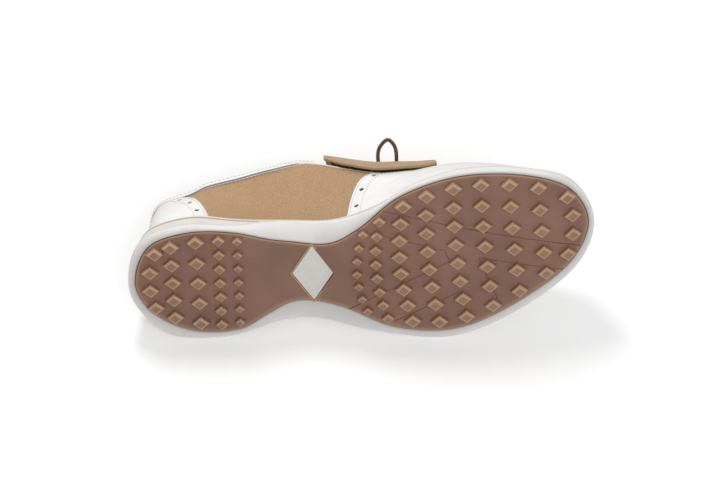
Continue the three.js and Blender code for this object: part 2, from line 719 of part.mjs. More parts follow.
// The kiltie settles towards the vamp where no lace runs under it.
const kiltieRise = through([[140, 0], [158, -0.5], [172, -2], [200, -3.2]]);
const kiltieShell = shell(KILTIE_OUT, KILTIE_IN - KILTIE_OUT, kiltieRise).intersect(aboveHem(kiltieHem));
const KILTIE_Y = -7;            // its centre line
const KILTIE_REACH = { rearMedial: 26, rearLateral: 24, front: 27 };
const kiltiePlan = (from, to) => upwards([
  [from, KILTIE_Y - KILTIE_REACH.rearMedial], [to, KILTIE_Y - KILTIE_REACH.front],
  [to, KILTIE_Y + KILTIE_REACH.front], [from, KILTIE_Y + KILTIE_REACH.rearLateral],
], 30);
add(lacing, 'kiltie_panel', kiltieShell.intersect(kiltiePlan(KILTIE_FROM, KILTIE_HINGE - GAP)), 'suede');

function kiltieFringe() {
  const width = 2 * KILTIE_REACH.rearMedial;
  let plan = kiltiePlan(KILTIE_HINGE, FRINGE_END);
  for (let i = 1; i < TASSELS; i += 1) {
    const y = KILTIE_Y - width / 2 + (width / TASSELS) * i;
    const slit = [[FRINGE_ROOT, y - 0.4], [210, y - 0.4], [210, y + 0.4], [FRINGE_ROOT, y + 0.4]];
    plan = plan.subtract(upwards(slit, 20));
  }
  return kiltieShell.intersect(plan);
}
add(lacing, 'kiltie_fringe', kiltieFringe(), 'suede');

function cord(points, radius = CORD_RADIUS, steps = 14) {
  const path = new THREE.CatmullRomCurve3(points.map((p) => new THREE.Vector3(...p)));
  const section = new THREE.Shape();
  section.absarc(0, 0, radius, 0, 2 * Math.PI);
  return new THREE.ExtrudeGeometry(section, { steps, curveSegments: 4, extrudePath: path });
}

// A lace bar runs from eyelet to eyelet over the tongue, its ends turned down the bores.
function laceBar({ x, reach }) {
  const low = [-1.4, 2.1];
  const end = (side) => {
    const { point, normal } = facePoint(x, side, reach);
    return low.map((lift) => point.clone().addScaledVector(normal, lift));
  };
  const span = (side) => facePoint(x, side, reach * 0.7, CORD_RADIUS + 1.5).point;
  const crown = facePoint(x, 'medial', 0.5, CORD_RADIUS + 0.9).point;
  return cord([
    ...end('medial'), span('medial'), crown, span('lateral'), ...end('lateral').reverse(),
  ].map((p) => p.toArray()));
}
eyeletPlaces.forEach(({ name, place }) => add(lacing, name, eyelet(place), 'brass'));
EYELETS.forEach((row, i) => add(lacing, `lace_bar_${i + 1}`, solid(laceBar(row)), 'cord'));

// ---------------------------------------------------------------- bow
const KNOT_X = 160;
const KNOT_HALF = { x: 4.2, y: 3.6, z: 2.5 };
const seat = facePoint(KNOT_X, 'medial', 0.01, -KILTIE_OUT);
const knotCentre = seat.point.clone().addScaledVector(seat.normal, KNOT_HALF.z + 0.5);

// A cord of the bow through [x, y, z] points measured from the centre of the knot.
function bowCord(offsets) {
  const points = offsets.map((o) => knotCentre.clone().add(new THREE.Vector3(...o)).toArray());
  return solid(cord(points, CORD_RADIUS, 14));
}

// An aglet closes the end of a tail: a rod along the tail's last stretch.
function aglet(offsets) {
  const [before, end] = offsets.slice(-2).map((o) => knotCentre.clone().add(new THREE.Vector3(...o)));
  const normal = end.clone().sub(before).normalize();
  const rod = new THREE.CylinderGeometry(AGLET_RADIUS, AGLET_RADIUS, AGLET_LENGTH, 10);
  const point = end.clone().addScaledVector(normal, AGLET_LENGTH / 2 + 2 * GAP);
  return solid(placeOn(rod.rotateX(Math.PI / 2), { point, normal }));
}
const AGLET_RADIUS = 1.4;
const AGLET_LENGTH = 9;

const knot = new THREE.SphereGeometry(1, 12, 8).scale(KNOT_HALF.x, KNOT_HALF.y, KNOT_HALF.z);
add(lacing, 'lace_knot', solid(placeOn(knot, { point: knotCentre, normal: seat.normal })), 'cord');
add(lacing, 'lace_loop_medial', bowCord([
  [-2, -5, 1], [-4, -14, 2], [-2.5, -22, 6], [4, -27, 8], [9.5, -23, 4.5], [10, -14, -1.5],
  [4, -5, -1.5],
]), 'cord');
add(lacing, 'lace_loop_lateral', bowCord([
  [-2, 5, 1.5], [-5, 14, 3], [-4, 25, 1], [2, 30, -2.5], [8, 25, -4], [8, 14, -3], [4, 5, -1.5],
]), 'cord');
const tails = {
  rear: [[-5, -0.5, 3.6], [-11, -2, 9.5], [-18, -1, 15.5], [-24, 1, 20.5]],
  lateral: [[-4.5, 3.5, 3.5], [-9, 12, 7], [-11, 21, 4], [-12, 28, -3]],
};
for (const [name, offsets] of Object.entries(tails)) {
  add(lacing, `lace_tail_${name}`, bowCord(offsets), 'cord');
  add(lacing, `aglet_${name}`, aglet(offsets), 'brass');
}

// The origin is the middle of the shoe's footprint, on the ground.
const box = new THREE.Box3().setFromObject(shoe, true);
const middle = box.getCenter(new THREE.Vector3());
shoe.position.set(-middle.x, -middle.y, -box.min.z);

export default shoe;
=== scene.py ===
import math

import bmesh
import bpy
import numpy as np
from mathutils import Matrix, Vector


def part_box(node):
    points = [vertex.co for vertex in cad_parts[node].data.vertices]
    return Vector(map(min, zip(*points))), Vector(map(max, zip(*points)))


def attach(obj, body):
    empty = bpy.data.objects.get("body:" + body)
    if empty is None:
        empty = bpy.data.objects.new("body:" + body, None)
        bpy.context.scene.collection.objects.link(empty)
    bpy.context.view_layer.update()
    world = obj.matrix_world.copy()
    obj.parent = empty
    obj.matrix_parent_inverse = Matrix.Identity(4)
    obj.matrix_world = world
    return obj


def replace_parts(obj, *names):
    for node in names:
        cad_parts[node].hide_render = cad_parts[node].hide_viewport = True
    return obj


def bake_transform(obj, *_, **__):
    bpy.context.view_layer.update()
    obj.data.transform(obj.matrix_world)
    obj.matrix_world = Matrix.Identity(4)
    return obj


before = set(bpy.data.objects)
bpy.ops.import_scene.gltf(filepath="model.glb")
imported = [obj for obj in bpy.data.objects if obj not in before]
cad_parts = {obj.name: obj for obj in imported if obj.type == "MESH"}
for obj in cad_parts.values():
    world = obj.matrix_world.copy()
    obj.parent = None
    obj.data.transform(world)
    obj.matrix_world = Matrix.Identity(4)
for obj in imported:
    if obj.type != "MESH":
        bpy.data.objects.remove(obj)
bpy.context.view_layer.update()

# Shapes are written in the shoe's plan coordinates: millimetres, x 0 at the heel, y up to the
# lateral side.  MIDDLE is the middle of the footprint, where the frame's origin is.
MIDDLE = np.array([144.96, 3.66, 0.0])
GAP = 0.3
LEATHER = 1.3
LINING = 1.0
QUARTER = LEATHER + GAP
LINER = 4.5
TONGUE_OUT, TONGUE_THICK = 5.8, 2.6
KILTIE_OUT, KILTIE_THICK = -7.2, 1.8
KILTIE_Y = -7.0
FLEX_FROM, FLEX_TO = 180.0, 214.0
HALF_TURN = math.pi / 2
SIDES = ("medial", "lateral")


# ------------------------------------------------------------------ curves
def through(points):
    """A smooth function through (x, value) points, level beyond both ends."""
    p = np.array(points, float)
    n = len(p)
    fine = []
    for i in range(n - 1):
        a, b, c, d = p[max(i - 1, 0)], p[i], p[i + 1], p[min(i + 2, n - 1)]
        v0, v1 = (c - a) / 2, (d - b) / 2
        t = (np.arange(12) / 12)[:, None]
        fine.append((2 * b - 2 * c + v0 + v1) * t**3 + (3 * c - 3 * b - 2 * v0 - v1) * t**2 + v0 * t + b)
    fine = np.vstack(fine + [p[-1:]])
    return lambda x: np.interp(x, fine[:, 0], fine[:, 1])


def catmull(points, per, closed=False):
    """A centripetal Catmull-Rom curve through the points."""
    p = np.array(points, float)
    n = len(p)
    out = []
    for i in range(n if closed else n - 1):
        b, c = p[i], p[(i + 1) % n]
        a = p[(i - 1) % n] if closed or i else 2 * b - c
        d = p[(i + 2) % n] if closed or i + 2 < n else 2 * c - b
        k0, k1, k2 = (max(np.linalg.norm(v), 1e-6) ** 0.5 for v in (b - a, c - b, d - c))
        m1 = ((b - a) / k0 - (c - a) / (k0 + k1) + (c - b) / k1) * k1
        m2 = ((c - b) / k1 - (d - b) / (k1 + k2) + (d - c) / k2) * k1
        t = (np.arange(per) / per)[:, None]
        out.append(b + m1 * t + (3 * (c - b) - 2 * m1 - m2) * t**2 + (2 * (b - c) + m1 + m2) * t**3)
    return np.vstack(out if closed else out + [p[-1:]])


def unit(vectors):
    return vectors / (np.linalg.norm(vectors, axis=-1, keepdims=True) + 1e-9)


def distance(line):
    """How far along the line each of its points is."""
    return np.r_[0, np.cumsum(np.linalg.norm(np.diff(line, axis=0), axis=1))]


def sample(at, run, line):
    """The line's points at distances along it, where run holds each point's own distance."""
    return np.stack([np.interp(at, run, column) for column in line.T], -1)


def spaced(line, step=None, count=None):
    """The same open line with points evenly spaced along it."""
    run = distance(line)
    return sample(np.linspace(0, run[-1], count or max(2, int(run[-1] / step) + 1)), run, line)


class Outline:
    """A closed plan outline; at(s) gives x and both sides at a fraction of its length."""

    def __init__(self, points):
        self.points = points
        first = int(points[:, 0].argmin())
        ring = np.vstack([points[first:], points[: first + 1]])
        tip = int(ring[:, 0].argmax())
        self.medial, self.lateral = ring[: tip + 1], ring[tip:][::-1]
        self.x0, self.x1 = ring[0, 0], ring[tip, 0]

    @staticmethod
    def spline(corners):
        loop = catmull(corners, 24, True)
        return Outline(spaced(np.vstack([loop, loop[:1]]), count=481)[:-1])

    def inset(self, distance):
        along = unit(np.roll(self.points, -2, 0) - np.roll(self.points, 2, 0))
        return Outline(self.points + distance * np.stack([-along[:, 1], along[:, 0]], 1))

    def at(self, s):
        x = self.x0 + (self.x1 - self.x0) * s
        return x, np.interp(x, *self.medial.T), np.interp(x, *self.lateral.T)


def ground(x):
    ahead = np.maximum(0, x - 193) / 93
    waist = np.clip((x - 76) / 62, 0, 1)
    return 12 * ahead**2 + 3 * np.sin(math.pi * waist) ** 2


tread = Outline.spline([
    [5, -2], [17, -27], [42, -34], [72, -30], [98, -20], [126, -15], [146, -23], [174, -42],
    [212, -51], [252, -44], [277, -29], [286, -5], [275, 18], [240, 40], [196, 54], [160, 48],
    [128, 29], [100, 23], [82, 29], [64, 37], [34, 34], [12, 18],
])
cup_foot = Outline.spline([
    [0, 0], [11, -29], [40, -38], [76, -32], [124, -26], [156, -34], [184, -48], [214, -54],
    [250, -48], [279, -33], [290, -4], [280, 22], [244, 46], [194, 61], [152, 53], [110, 42],
    [82, 40], [54, 43], [20, 37], [4, 18],
])
cup_lip = cup_foot.inset(3.5)
cavity = cup_lip.inset(3)
board = cavity.inset(6.4)
last_base = cavity.inset(0.6)
lip_height = through([(0, 27), (60, 26), (110, 23.5), (150, 20.5), (200, 17), (291, 16)])
foot_height = through([(0, 7), (62, 7), (92, 13), (120, 13), (150, 8), (175, 7), (291, 7)])
board_height = through([(0, 18), (60, 17.5), (110, 15), (160, 12.8), (291, 12.5)])
ridge_height = through([
    (20, 128), (70, 128), (100, 122), (120, 111), (147, 91), (165, 80), (180, 73.5), (196, 68),
    (215, 61.5), (235, 54.5), (250, 49.5), (262, 45.5),
])
ridge_side = through([(20, 0), (60, 0), (110, -5), (150, -7), (196, -7), (262, -6)])
belly = {
    "medial": through([(10, -5), (35, -5), (50, 2), (72, 9), (95, 11), (125, 13), (160, 6), (185, 0)]),
    "lateral": through([(10, -5), (35, -7), (55, -4), (90, 0), (125, 2), (160, 0)]),
}
RIDGE_REAR, RIDGE_FRONT, ARC_POWER = 22.0, 262.0, 2.15
bases = {}


def last(s, side, angle, depth=0.0, rise=None):
    """Points depth mm under the upper's face: s along the shoe, angle up from the sole."""
    if depth not in bases:
        bases[depth] = last_base.inset(depth)
    s, angle = np.broadcast_arrays(np.asarray(s, float), np.asarray(angle, float))
    x, medial, lateral = bases[depth].at(s)
    foot, sign = (medial, -1) if side == "medial" else (lateral, 1)
    rx = RIDGE_REAR + depth + (RIDGE_FRONT - RIDGE_REAR - 2 * depth) * s
    ry, rz = ridge_side(rx), ridge_height(rx) - depth
    if rise is not None:
        rz = rz + rise(rx)
    floor = ground(x) + board_height(x) - GAP
    out = np.cos(angle).clip(0) ** (2 / ARC_POWER)
    up = np.sin(angle).clip(0) ** (2 / ARC_POWER)
    width = np.minimum(1, (lateral - medial) / 50)
    swell = sign * width * belly[side](x) * np.sin(2 * angle).clip(0) ** 3
    return np.stack([rx + (x - rx) * out, ry + (foot - ry) * out + swell, floor + (rz - floor) * up], -1)


def tangents(s, side, angle, depth=0.0):
    ds, da = 1e-3, 2e-3
    low, high = np.clip(s - ds, 0, 1), np.clip(s + ds, 0, 1)
    along = (last(high, side, angle, depth) - last(low, side, angle, depth)) / (high - low)[..., None]
    low, high = np.clip(angle - da, 0, HALF_TURN), np.clip(angle + da, 0, HALF_TURN)
    up = (last(s, side, high, depth) - last(s, side, low, depth)) / (high - low)[..., None]
    return along, up


def normal(s, side, angle, depth=0.0):
    """The outward direction of the upper's face."""
    along, up = tangents(s, side, angle, depth)
    return unit(np.cross(along, up)) * (-1 if side == "lateral" else 1)


def project(target, s, angle, side, depth=0.0):
    """The s and angle of the face point nearest the target, starting from a near one."""
    s, angle = np.array(s, float), np.array(angle, float)
    for _ in range(6):
        along, up = tangents(s, side, angle, depth)
        miss = target - last(s, side, angle, depth)
        aa, ab, bb = (along * along).sum(-1), (along * up).sum(-1), (up * up).sum(-1)
        ma, mb = (along * miss).sum(-1), (up * miss).sum(-1)
        det = aa * bb - ab * ab + 1e-9
        s = np.clip(s + (ma * bb - mb * ab) / det, 0, 1)
        angle = np.clip(angle + (mb * aa - ma * ab) / det, 0, HALF_TURN)
    return s, angle


def crossing(inside, low, high, steps=26):
    """Elementwise, the largest value between low and high for which inside holds."""
    low, high = low * 1.0, high * 1.0
    for _ in range(steps):
        middle = (low + high) / 2
        ok = inside(middle)
        low, high = np.where(ok, middle, low), np.where(ok, high, middle)
    return low


# ------------------------------------------------------------------ edges of the upper
collar = through([
    (-12, 77), (14, 77), (32, 75.5), (48, 77.5), (72, 81.5), (90, 88), (110, 97), (121, 102.5),
    (135, 140),
])
wing = through([(8, 135.5), (19, 138), (36, 140), (46.5, 142.1), (57, 146), (64, 151), (70.5, 160),
                (73, 172)])
cap = through([(8, 54), (26, 53.5), (38, 51.5), (52, 46.5), (63, 41), (72, 34.5), (82, 27)])


def throat_half(x):
    return np.interp(x, [99.5, 100, 152, 158, 160], [-1, 13, 10, 6, -1])


def top_angle(s, side):
    """How far up the upper reaches: to the collar, or to the throat's edge."""
    def inside(angle):
        p = last(s, side, angle)
        clear = np.abs(p[..., 1] - ridge_side(p[..., 0])) >= throat_half(p[..., 0])
        return (p[..., 2] <= collar(p[..., 0])) & clear
    return crossing(inside, np.zeros_like(s), np.full_like(s, HALF_TURN))


def edge_s(angle, side, curve):
    """The s at which the face crosses a side-view edge curve x = curve(z)."""
    def behind(s):
        p = last(s, side, angle)
        return p[..., 0] <= curve(p[..., 2])
    return crossing(behind, np.zeros_like(angle), np.ones_like(angle))


def angle_under(height, s, side, top=HALF_TURN):
    """The angle, up to top, at which the face reaches the height over its own x."""
    def inside(angle):
        p = last(s, side, angle)
        return p[..., 2] <= height(p[..., 0])
    return crossing(inside, np.zeros_like(s), np.zeros_like(s) + top)


def at_station(x):
    """The s of the ridge point at x."""
    return (x - RIDGE_REAR) / (RIDGE_FRONT - RIDGE_REAR)


def plan_point(x, y, depth=0.0, rise=None):
    """The face point over a plan position."""
    x, y = np.broadcast_arrays(np.asarray(x, float), np.asarray(y, float))
    result = np.zeros(x.shape + (3,))
    for side, sign in (("medial", -1), ("lateral", 1)):
        reach = np.maximum(sign * (y - ridge_side(x)), 0)
        s = at_station(x)
        for _ in range(5):
            def outside(angle):
                p = last(s, side, angle, depth, rise)
                return sign * (p[..., 1] - ridge_side(p[..., 0])) >= reach
            angle = crossing(outside, np.full_like(s, 0.35), np.full_like(s, HALF_TURN))
            p = last(s, side, angle, depth, rise)
            s = np.clip(s + (x - p[..., 0]) / 265, 0, 1)
        mine = sign * (y - ridge_side(x)) >= 0
        result[mine] = last(s, side, angle, depth, rise)[mine]
    return result


def rounded(count):
    return (1 - np.cos(np.linspace(0, math.pi, count))) / 2


# ------------------------------------------------------------------ meshes
# The CAD colour slot that each material takes, where it isn't of the same name.
SLOTS = {"white_thread": "white_leather", "grey_thread": "white_leather", "hole_backing": "stiffener"}


def make(name, points, faces, material, smooth=38, tone=None, uv=None):
    """A mesh object from points in plan millimetres."""
    mesh = bpy.data.meshes.new(name)
    co = (np.asarray(points, float).reshape(-1, 3) - MIDDLE) / 1000
    mesh.from_pydata(co.tolist(), [], [tuple(int(i) for i in f) for f in faces])
    if tone is not None:
        mesh.attributes.new("tone", "FLOAT", "POINT").data.foreach_set("value", np.asarray(tone, np.float32))
    if uv is not None:
        layer = mesh.uv_layers.new(name="UVMap")
        flat = np.asarray(uv, np.float32)[[i for f in faces for i in f]]
        layer.data.foreach_set("uv", flat.ravel())
    mesh.materials.append(material)
    work = bmesh.new()
    work.from_mesh(mesh)
    bmesh.ops.remove_doubles(work, verts=work.verts, dist=2e-6)
    bmesh.ops.dissolve_degenerate(work, edges=work.edges, dist=1e-6)
    bmesh.ops.recalc_face_normals(work, faces=work.faces)
    work.to_mesh(mesh)
    work.free()
    obj = bpy.data.objects.new(name, mesh)
    bpy.context.scene.collection.objects.link(obj)
    shade(obj, smooth)
    kind = material.name.split(".")[0]
    SLOTS.get(kind, kind)
    return obj


def quads(rows, cols, loop_rows=False, loop_cols=True):
    """Faces over a grid of points, wrapped round in either direction."""
    faces = []
    for i in range(rows if loop_rows else rows - 1):
        a, b = i * cols, (i + 1) % rows * cols
        for j in range(cols if loop_cols else cols - 1):
            k = (j + 1) % cols
            faces.append((a + j, a + k, b + k, b + j))
    return faces


def lids(rows, cols):
    """Faces that close the first and the last of the rings in a grid."""
    return [tuple(range(cols))[::-1], tuple((rows - 1) * cols + j for j in range(cols))]


def shade(obj, angle=38):
    obj.data.polygons.foreach_set("use_smooth", [True] * len(obj.data.polygons))
    obj.data.set_sharp_from_angle(angle=math.radians(angle))


def bake(obj):
    """Turns the object's modifiers into its mesh."""
    graph = bpy.context.evaluated_depsgraph_get()
    mesh = bpy.data.meshes.new_from_object(obj.evaluated_get(graph))
    obj.modifiers.clear()
    obj.data = mesh
    return obj


def bevel(obj, width, segments=2, angle=40):
    mod = obj.modifiers.new("edge", "BEVEL")
    mod.width = width / 1000
    mod.segments = segments
    mod.limit_method = "ANGLE"
    mod.angle_limit = math.radians(angle)
    bake(obj)
    shade(obj, angle)
    return obj


def cut(obj, tool):
    mod = obj.modifiers.new("cut", "BOOLEAN")
    mod.operation = "DIFFERENCE"
    mod.solver = "EXACT"
    mod.object = tool
    bpy.context.view_layer.update()
    bake(obj)
    bpy.data.objects.remove(tool, do_unlink=True)
    return obj


def band(levels, n, closed):
    """Rings round the shoe, each (outline, height of x), joined in order; ring points and faces."""
    s = rounded(n)
    rings = []
    for outline, height in levels:
        x, medial, lateral = outline.at(s)
        z = ground(x) + (height(x) if callable(height) else height)
        rings.append(np.vstack([np.stack([x, medial, z], 1), np.stack([x, lateral, z], 1)[-2:0:-1]]))
    return np.vstack(rings), quads(len(rings), len(rings[0]), closed), len(rings[0])


def fill(points, ring, n, across=12):
    """Quads that close a ring made by band, with points across it; heights come from the ring."""
    ring_points = points[ring * (2 * n - 2): (ring + 1) * (2 * n - 2)]
    medial = ring_points[:n]
    lateral = np.vstack([ring_points[:1], ring_points[n:][::-1], ring_points[n - 1: n]])
    t = np.linspace(0, 1, across + 1)[None, :, None]
    grid = medial[:, None] * (1 - t) + lateral[:, None] * t
    faces = [tuple(len(points) + i for i in face) for face in quads(n, across + 1, loop_cols=False)]
    return np.vstack([points, grid.reshape(-1, 3)]), faces


def plate(name, levels, material, n=150, painted_lights=None, smooth=38):
    """A solid of stacked rings closed at the first and the last."""
    points, faces, size = band(levels, n, False)
    tone = np.repeat(painted_lights if painted_lights else [0] * len(levels), size)
    for ring in (0, len(levels) - 1):
        before = len(points)
        points, more = fill(points, ring, n)
        faces += more
        tone = np.r_[tone, np.full(len(points) - before, tone[ring * size])]
    return make(name, points, faces, material, smooth, tone)


def sheet(name, outer, inner, material, walls="abcd", round_edge=0.3):
    """A skin between two grids of points; walls a, b close its first and last row and c, d its
    first and last column."""
    rows, cols = outer.shape[:2]
    index = np.arange(rows * cols).reshape(rows, cols)
    faces = []
    for face in quads(rows, cols, loop_cols=False):
        faces += [face, tuple(i + rows * cols for i in (face[0], *face[:0:-1]))]
    edges = {"a": index[0], "b": index[-1], "c": index[:, 0], "d": index[:, -1]}
    for wall in walls:
        run = edges[wall]
        for p, q in zip(run[:-1], run[1:]):
            faces.append((p, q, q + rows * cols, p + rows * cols))
    points = np.vstack([outer.reshape(-1, 3), inner.reshape(-1, 3)])
    obj = make(name, points, faces, material)
    return bevel(obj, round_edge) if round_edge else obj


def tube(line, radius, sides=12, closed=False, strands=0):
    """A round cord along a line: points, faces and uv (u in mm along it, v round it)."""
    n = len(line)
    tangent = unit(np.roll(line, -1, 0) - np.roll(line, 1, 0) if closed else np.gradient(line, axis=0))
    side = np.cross(tangent[0], [0.3, 0.2, 0.9])
    run = distance(line)
    radius = np.broadcast_to(radius, (n,))
    angle = np.linspace(0, 2 * math.pi, sides, endpoint=False)
    rings, uv = [], []
    for k in range(n):
        side = unit(side - tangent[k] * (side @ tangent[k]))
        other = np.cross(tangent[k], side)
        r = radius[k]
        if strands:
            r = r * (0.93 + 0.07 * np.abs(np.sin(strands * angle / 2 + run[k] * 1.6)
                                          * np.sin(strands * angle / 2 - run[k] * 1.6)))
        rings.append(line[k] + (np.cos(angle) * r)[:, None] * side + (np.sin(angle) * r)[:, None] * other)
        uv += [(run[k], v / sides) for v in range(sides)]
    return np.vstack(rings), quads(n, sides, closed) + ([] if closed else lids(n, sides)), uv


def joined(parts):
    """Several (points, faces, uv) lists as one."""
    points, faces, uv, start = [], [], [], 0
    for p, f, u in parts:
        points.append(p)
        faces += [tuple(start + i for i in face) for face in f]
        uv += list(u)
        start += len(p)
    return np.vstack(points), faces, uv


SIM_SCALE = 20.0


def puff(obj, cap, voxel, pressure=4.0):
    """Swells a closed soft piece with a pressurised cloth run; no point moves more than cap mm."""
    obj.data.transform(Matrix.Scale(SIM_SCALE, 4))
    mod = obj.modifiers.new("remesh", "REMESH")
    mod.mode = "VOXEL"
    mod.voxel_size = voxel / 1000 * SIM_SCALE
    material = obj.data.materials[0]
    bake(obj)
    rest = np.empty(len(obj.data.vertices) * 3)
    obj.data.vertices.foreach_get("co", rest)
    cloth = obj.modifiers.new("swell", "CLOTH")
    cloth.settings.use_pressure = True
    cloth.settings.uniform_pressure_force = pressure
    cloth.settings.effector_weights.gravity = 0
    cloth.point_cache.frame_start, cloth.point_cache.frame_end = 1, 20
    for frame_number in range(1, 21):
        bpy.context.scene.frame_set(frame_number)
    graph = bpy.context.evaluated_depsgraph_get()
    moved = np.empty_like(rest)
    obj.evaluated_get(graph).data.vertices.foreach_get("co", moved)
    obj.modifiers.clear()
    bpy.context.scene.frame_set(1)
    shift = (moved - rest).reshape(-1, 3)
    length = np.linalg.norm(shift, axis=1)[:, None] + 1e-12
    shift *= np.minimum(1, cap / 1000 * SIM_SCALE / length)
    obj.data.vertices.foreach_set("co", (rest + shift.ravel()) / SIM_SCALE)
    smooth_mod = obj.modifiers.new("smooth", "SMOOTH")
    smooth_mod.iterations = 3
    finer = obj.modifiers.new("finer", "SUBSURF")
    finer.levels = 1
    bake(obj)
    obj.data.materials.clear()
    obj.data.materials.append(material)
    shade(obj, 180)
    return obj


def stitches(name, line, normals, material, pitch, thick, length=1.7):
    """A row of thread stitches lying on a line of face points."""
    run = distance(line)
    arch = np.sin(np.linspace(0, math.pi, 6))
    parts = []
    for k in range(int(run[-1] / pitch)):
        at = (k + 0.5) * pitch + np.linspace(-0.5, 0.5, 6) * length
        lift = sample(at, run, normals) * (0.3 * arch - 0.12)[:, None]
        parts.append(tube(sample(at, run, line) + lift, thick * (0.55 + 0.45 * arch), 6))
    points, faces, _ = joined(parts)
    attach(make(name, points, faces, material, 80), "rearfoot")


# ------------------------------------------------------------------ materials
class Look:
    """A short way to write a node material round one Principled shader."""

    def __init__(self, name, roughness=0.5, **settings):
        self.material = bpy.data.materials.new(name)
        self.material.use_nodes = True
        self.nodes, self.links = self.material.node_tree.nodes, self.material.node_tree.links
        self.shader = self.nodes["Principled BSDF"]
        self.shader.inputs["Roughness"].default_value = roughness
        for key, value in settings.items():
            self.shader.inputs[key.replace("_", " ")].default_value = value
        self.place = self.nodes.new("ShaderNodeTexCoord").outputs["Object"]

    def put(self, socket, value):
        if isinstance(value, bpy.types.NodeSocket):
            self.links.new(value, socket)
        else:
            socket.default_value = value

    def node(self, kind, output, settings=(), **inputs):
        made = self.nodes.new("ShaderNode" + kind)
        for key, value in settings:
            setattr(made, key, value)
        for key, value in inputs.items():
            self.put(made.inputs[key.replace("_", " ")], value)
        return made.outputs[output]

    def stretched(self, scale, turn=(0, 0, 0)):
        return self.node("Mapping", "Vector", Vector=self.place, Scale=scale, Rotation=turn)

    def noise(self, scale, detail=4, vector=None):
        return self.node("TexNoise", "Fac", Vector=vector or self.place, Scale=scale, Detail=detail,
                         Roughness=0.55)

    def cells(self, scale, vector=None):
        return self.node("TexVoronoi", "Distance", [("feature", "DISTANCE_TO_EDGE")],
                         Vector=vector or self.place, Scale=scale)

    def waves(self, scale, axis="X", vector=None, distortion=0.0):
        return self.node("TexWave", "Fac", [("bands_direction", axis)], Vector=vector or self.place,
                         Scale=scale, Distortion=distortion)

    def tone(self):
        return self.node("Attribute", "Fac", [("attribute_name", "tone")])

    def spread(self, value, low, high, to_low=0.0, to_high=1.0):
        return self.node("MapRange", "Result", Value=value, From_Min=low, From_Max=high, To_Min=to_low,
                         To_Max=to_high)

    def maths(self, kind, a, b):
        made = self.nodes.new("ShaderNodeMath")
        made.operation = kind
        self.put(made.inputs[0], a)
        self.put(made.inputs[1], b)
        return made.outputs[0]

    def mix(self, share, a, b):
        made = self.nodes.new("ShaderNodeMix")
        made.data_type = "RGBA"
        for socket, value in zip((made.inputs[0], made.inputs[6], made.inputs[7]), (share, a, b)):
            self.put(socket, (*value, 1) if isinstance(value, tuple) else value)
        return made.outputs[2]

    def bump(self, height, depth_mm, strength=1.0, under=None):
        slope = {"Normal": under} if under else {}
        return self.node("Bump", "Normal", Height=height, Distance=depth_mm / 1000, Strength=strength,
                         **slope)

    def uneven(self, scale, low, high):
        """Roughness that wanders between two values."""
        return self.spread(self.noise(scale, 3), 0.3, 0.7, low, high)

    def clouds(self, scale, detail, low, high, a, b):
        """Two colours mixed in soft patches."""
        return self.mix(self.spread(self.noise(scale, detail), low, high), a, b)

    def finish(self, colour=None, rough=None, normal=None):
        for key, value in (("Base Color", colour), ("Roughness", rough), ("Normal", normal)):
            if value is not None:
                self.put(self.shader.inputs[key], value)
        return self.material


def gum_rubber():
    k = Look("gum_rubber", 0.5, Subsurface_Weight=0.12, Subsurface_Scale=0.002, IOR=1.5,
             Subsurface_Radius=(1.0, 0.45, 0.25))
    base = k.clouds(28, 4, 0.35, 0.65, (0.205, 0.108, 0.072), (0.26, 0.140, 0.095))
    # The per-point mix lightens the gum to a pale tan: painted highlight on rims and stud chamfers, with the
    # darker gum left at the stud roots as painted shade.
    colour = k.mix(k.tone(), base, (0.52, 0.32, 0.19))
    return k.finish(colour, k.uneven(220, 0.42, 0.62), k.bump(k.noise(1400, 3), 0.03, 0.6))


def white_rubber(name, light, dark):
    k = Look(name, 0.5, Subsurface_Weight=0.06, Subsurface_Scale=0.002)
    # The per-point mix greys the white rubber in thin lines: painted shade in the wall's grooves and steps.
    colour = k.mix(k.tone(), k.clouds(40, 5, 0.4, 0.7, light, dark), (0.40, 0.385, 0.375))
    return k.finish(colour, k.uneven(160, 0.42, 0.6), k.bump(k.noise(1100, 4), 0.025, 0.5))


def white_leather():
    k = Look("white_leather", 0.38, Coat_Weight=0.12, Coat_Roughness=0.3)
    crease = k.noise(90, 5, k.stretched((1, 0.4, 1.6)))
    colour = k.mix(k.spread(crease, 0.35, 0.75), (0.83, 0.82, 0.80), (0.78, 0.77, 0.745))
    grain = k.bump(k.cells(1500), 0.05, 0.4, k.bump(crease, 0.12, 0.35))
    return k.finish(colour, k.uneven(300, 0.30, 0.48), grain)


def tan_leather():
    k = Look("tan_leather", 0.48)
    pebble = k.cells(640, k.stretched((1.0, 1.0, 1.7), (0, math.radians(38), 0)))
    top = k.spread(pebble, 0.02, 0.28)
    tint = k.clouds(30, 4, 0.3, 0.7, (0.59, 0.365, 0.185), (0.53, 0.32, 0.155))
    # The valleys between the pebbles are painted dark brown: painted shade in the grain's hollows.
    colour = k.mix(top, (0.42, 0.245, 0.115), tint)
    grain = k.bump(top, 0.3, 0.85, k.bump(k.noise(160, 3), 0.1, 0.3))
    return k.finish(colour, k.spread(pebble, 0.0, 0.4, 0.62, 0.42), grain)


def suede():
    k = Look("suede", 0.95, Sheen_Weight=0.3, Sheen_Roughness=0.5)
    nap = k.noise(1500, 6, k.stretched((0.6, 1.4, 1)))
    tint = k.clouds(60, 4, 0.35, 0.65, (0.54, 0.365, 0.195), (0.44, 0.29, 0.15))
    colour = k.mix(k.spread(nap, 0.35, 0.7), (0.35, 0.23, 0.115), tint)
    return k.finish(colour, None, k.bump(nap, 0.2, 0.8))


def knitted(name, light, dark):
    k = Look(name, 0.9, Sheen_Weight=0.25)
    rib = k.maths("MULTIPLY", *(k.waves(420, axis, None, 1.5) for axis in "XZ"))
    colour = k.mix(k.maths("MULTIPLY", rib, k.noise(200, 3)), dark, light)
    return k.finish(colour, None, k.bump(rib, 0.2, 0.6))


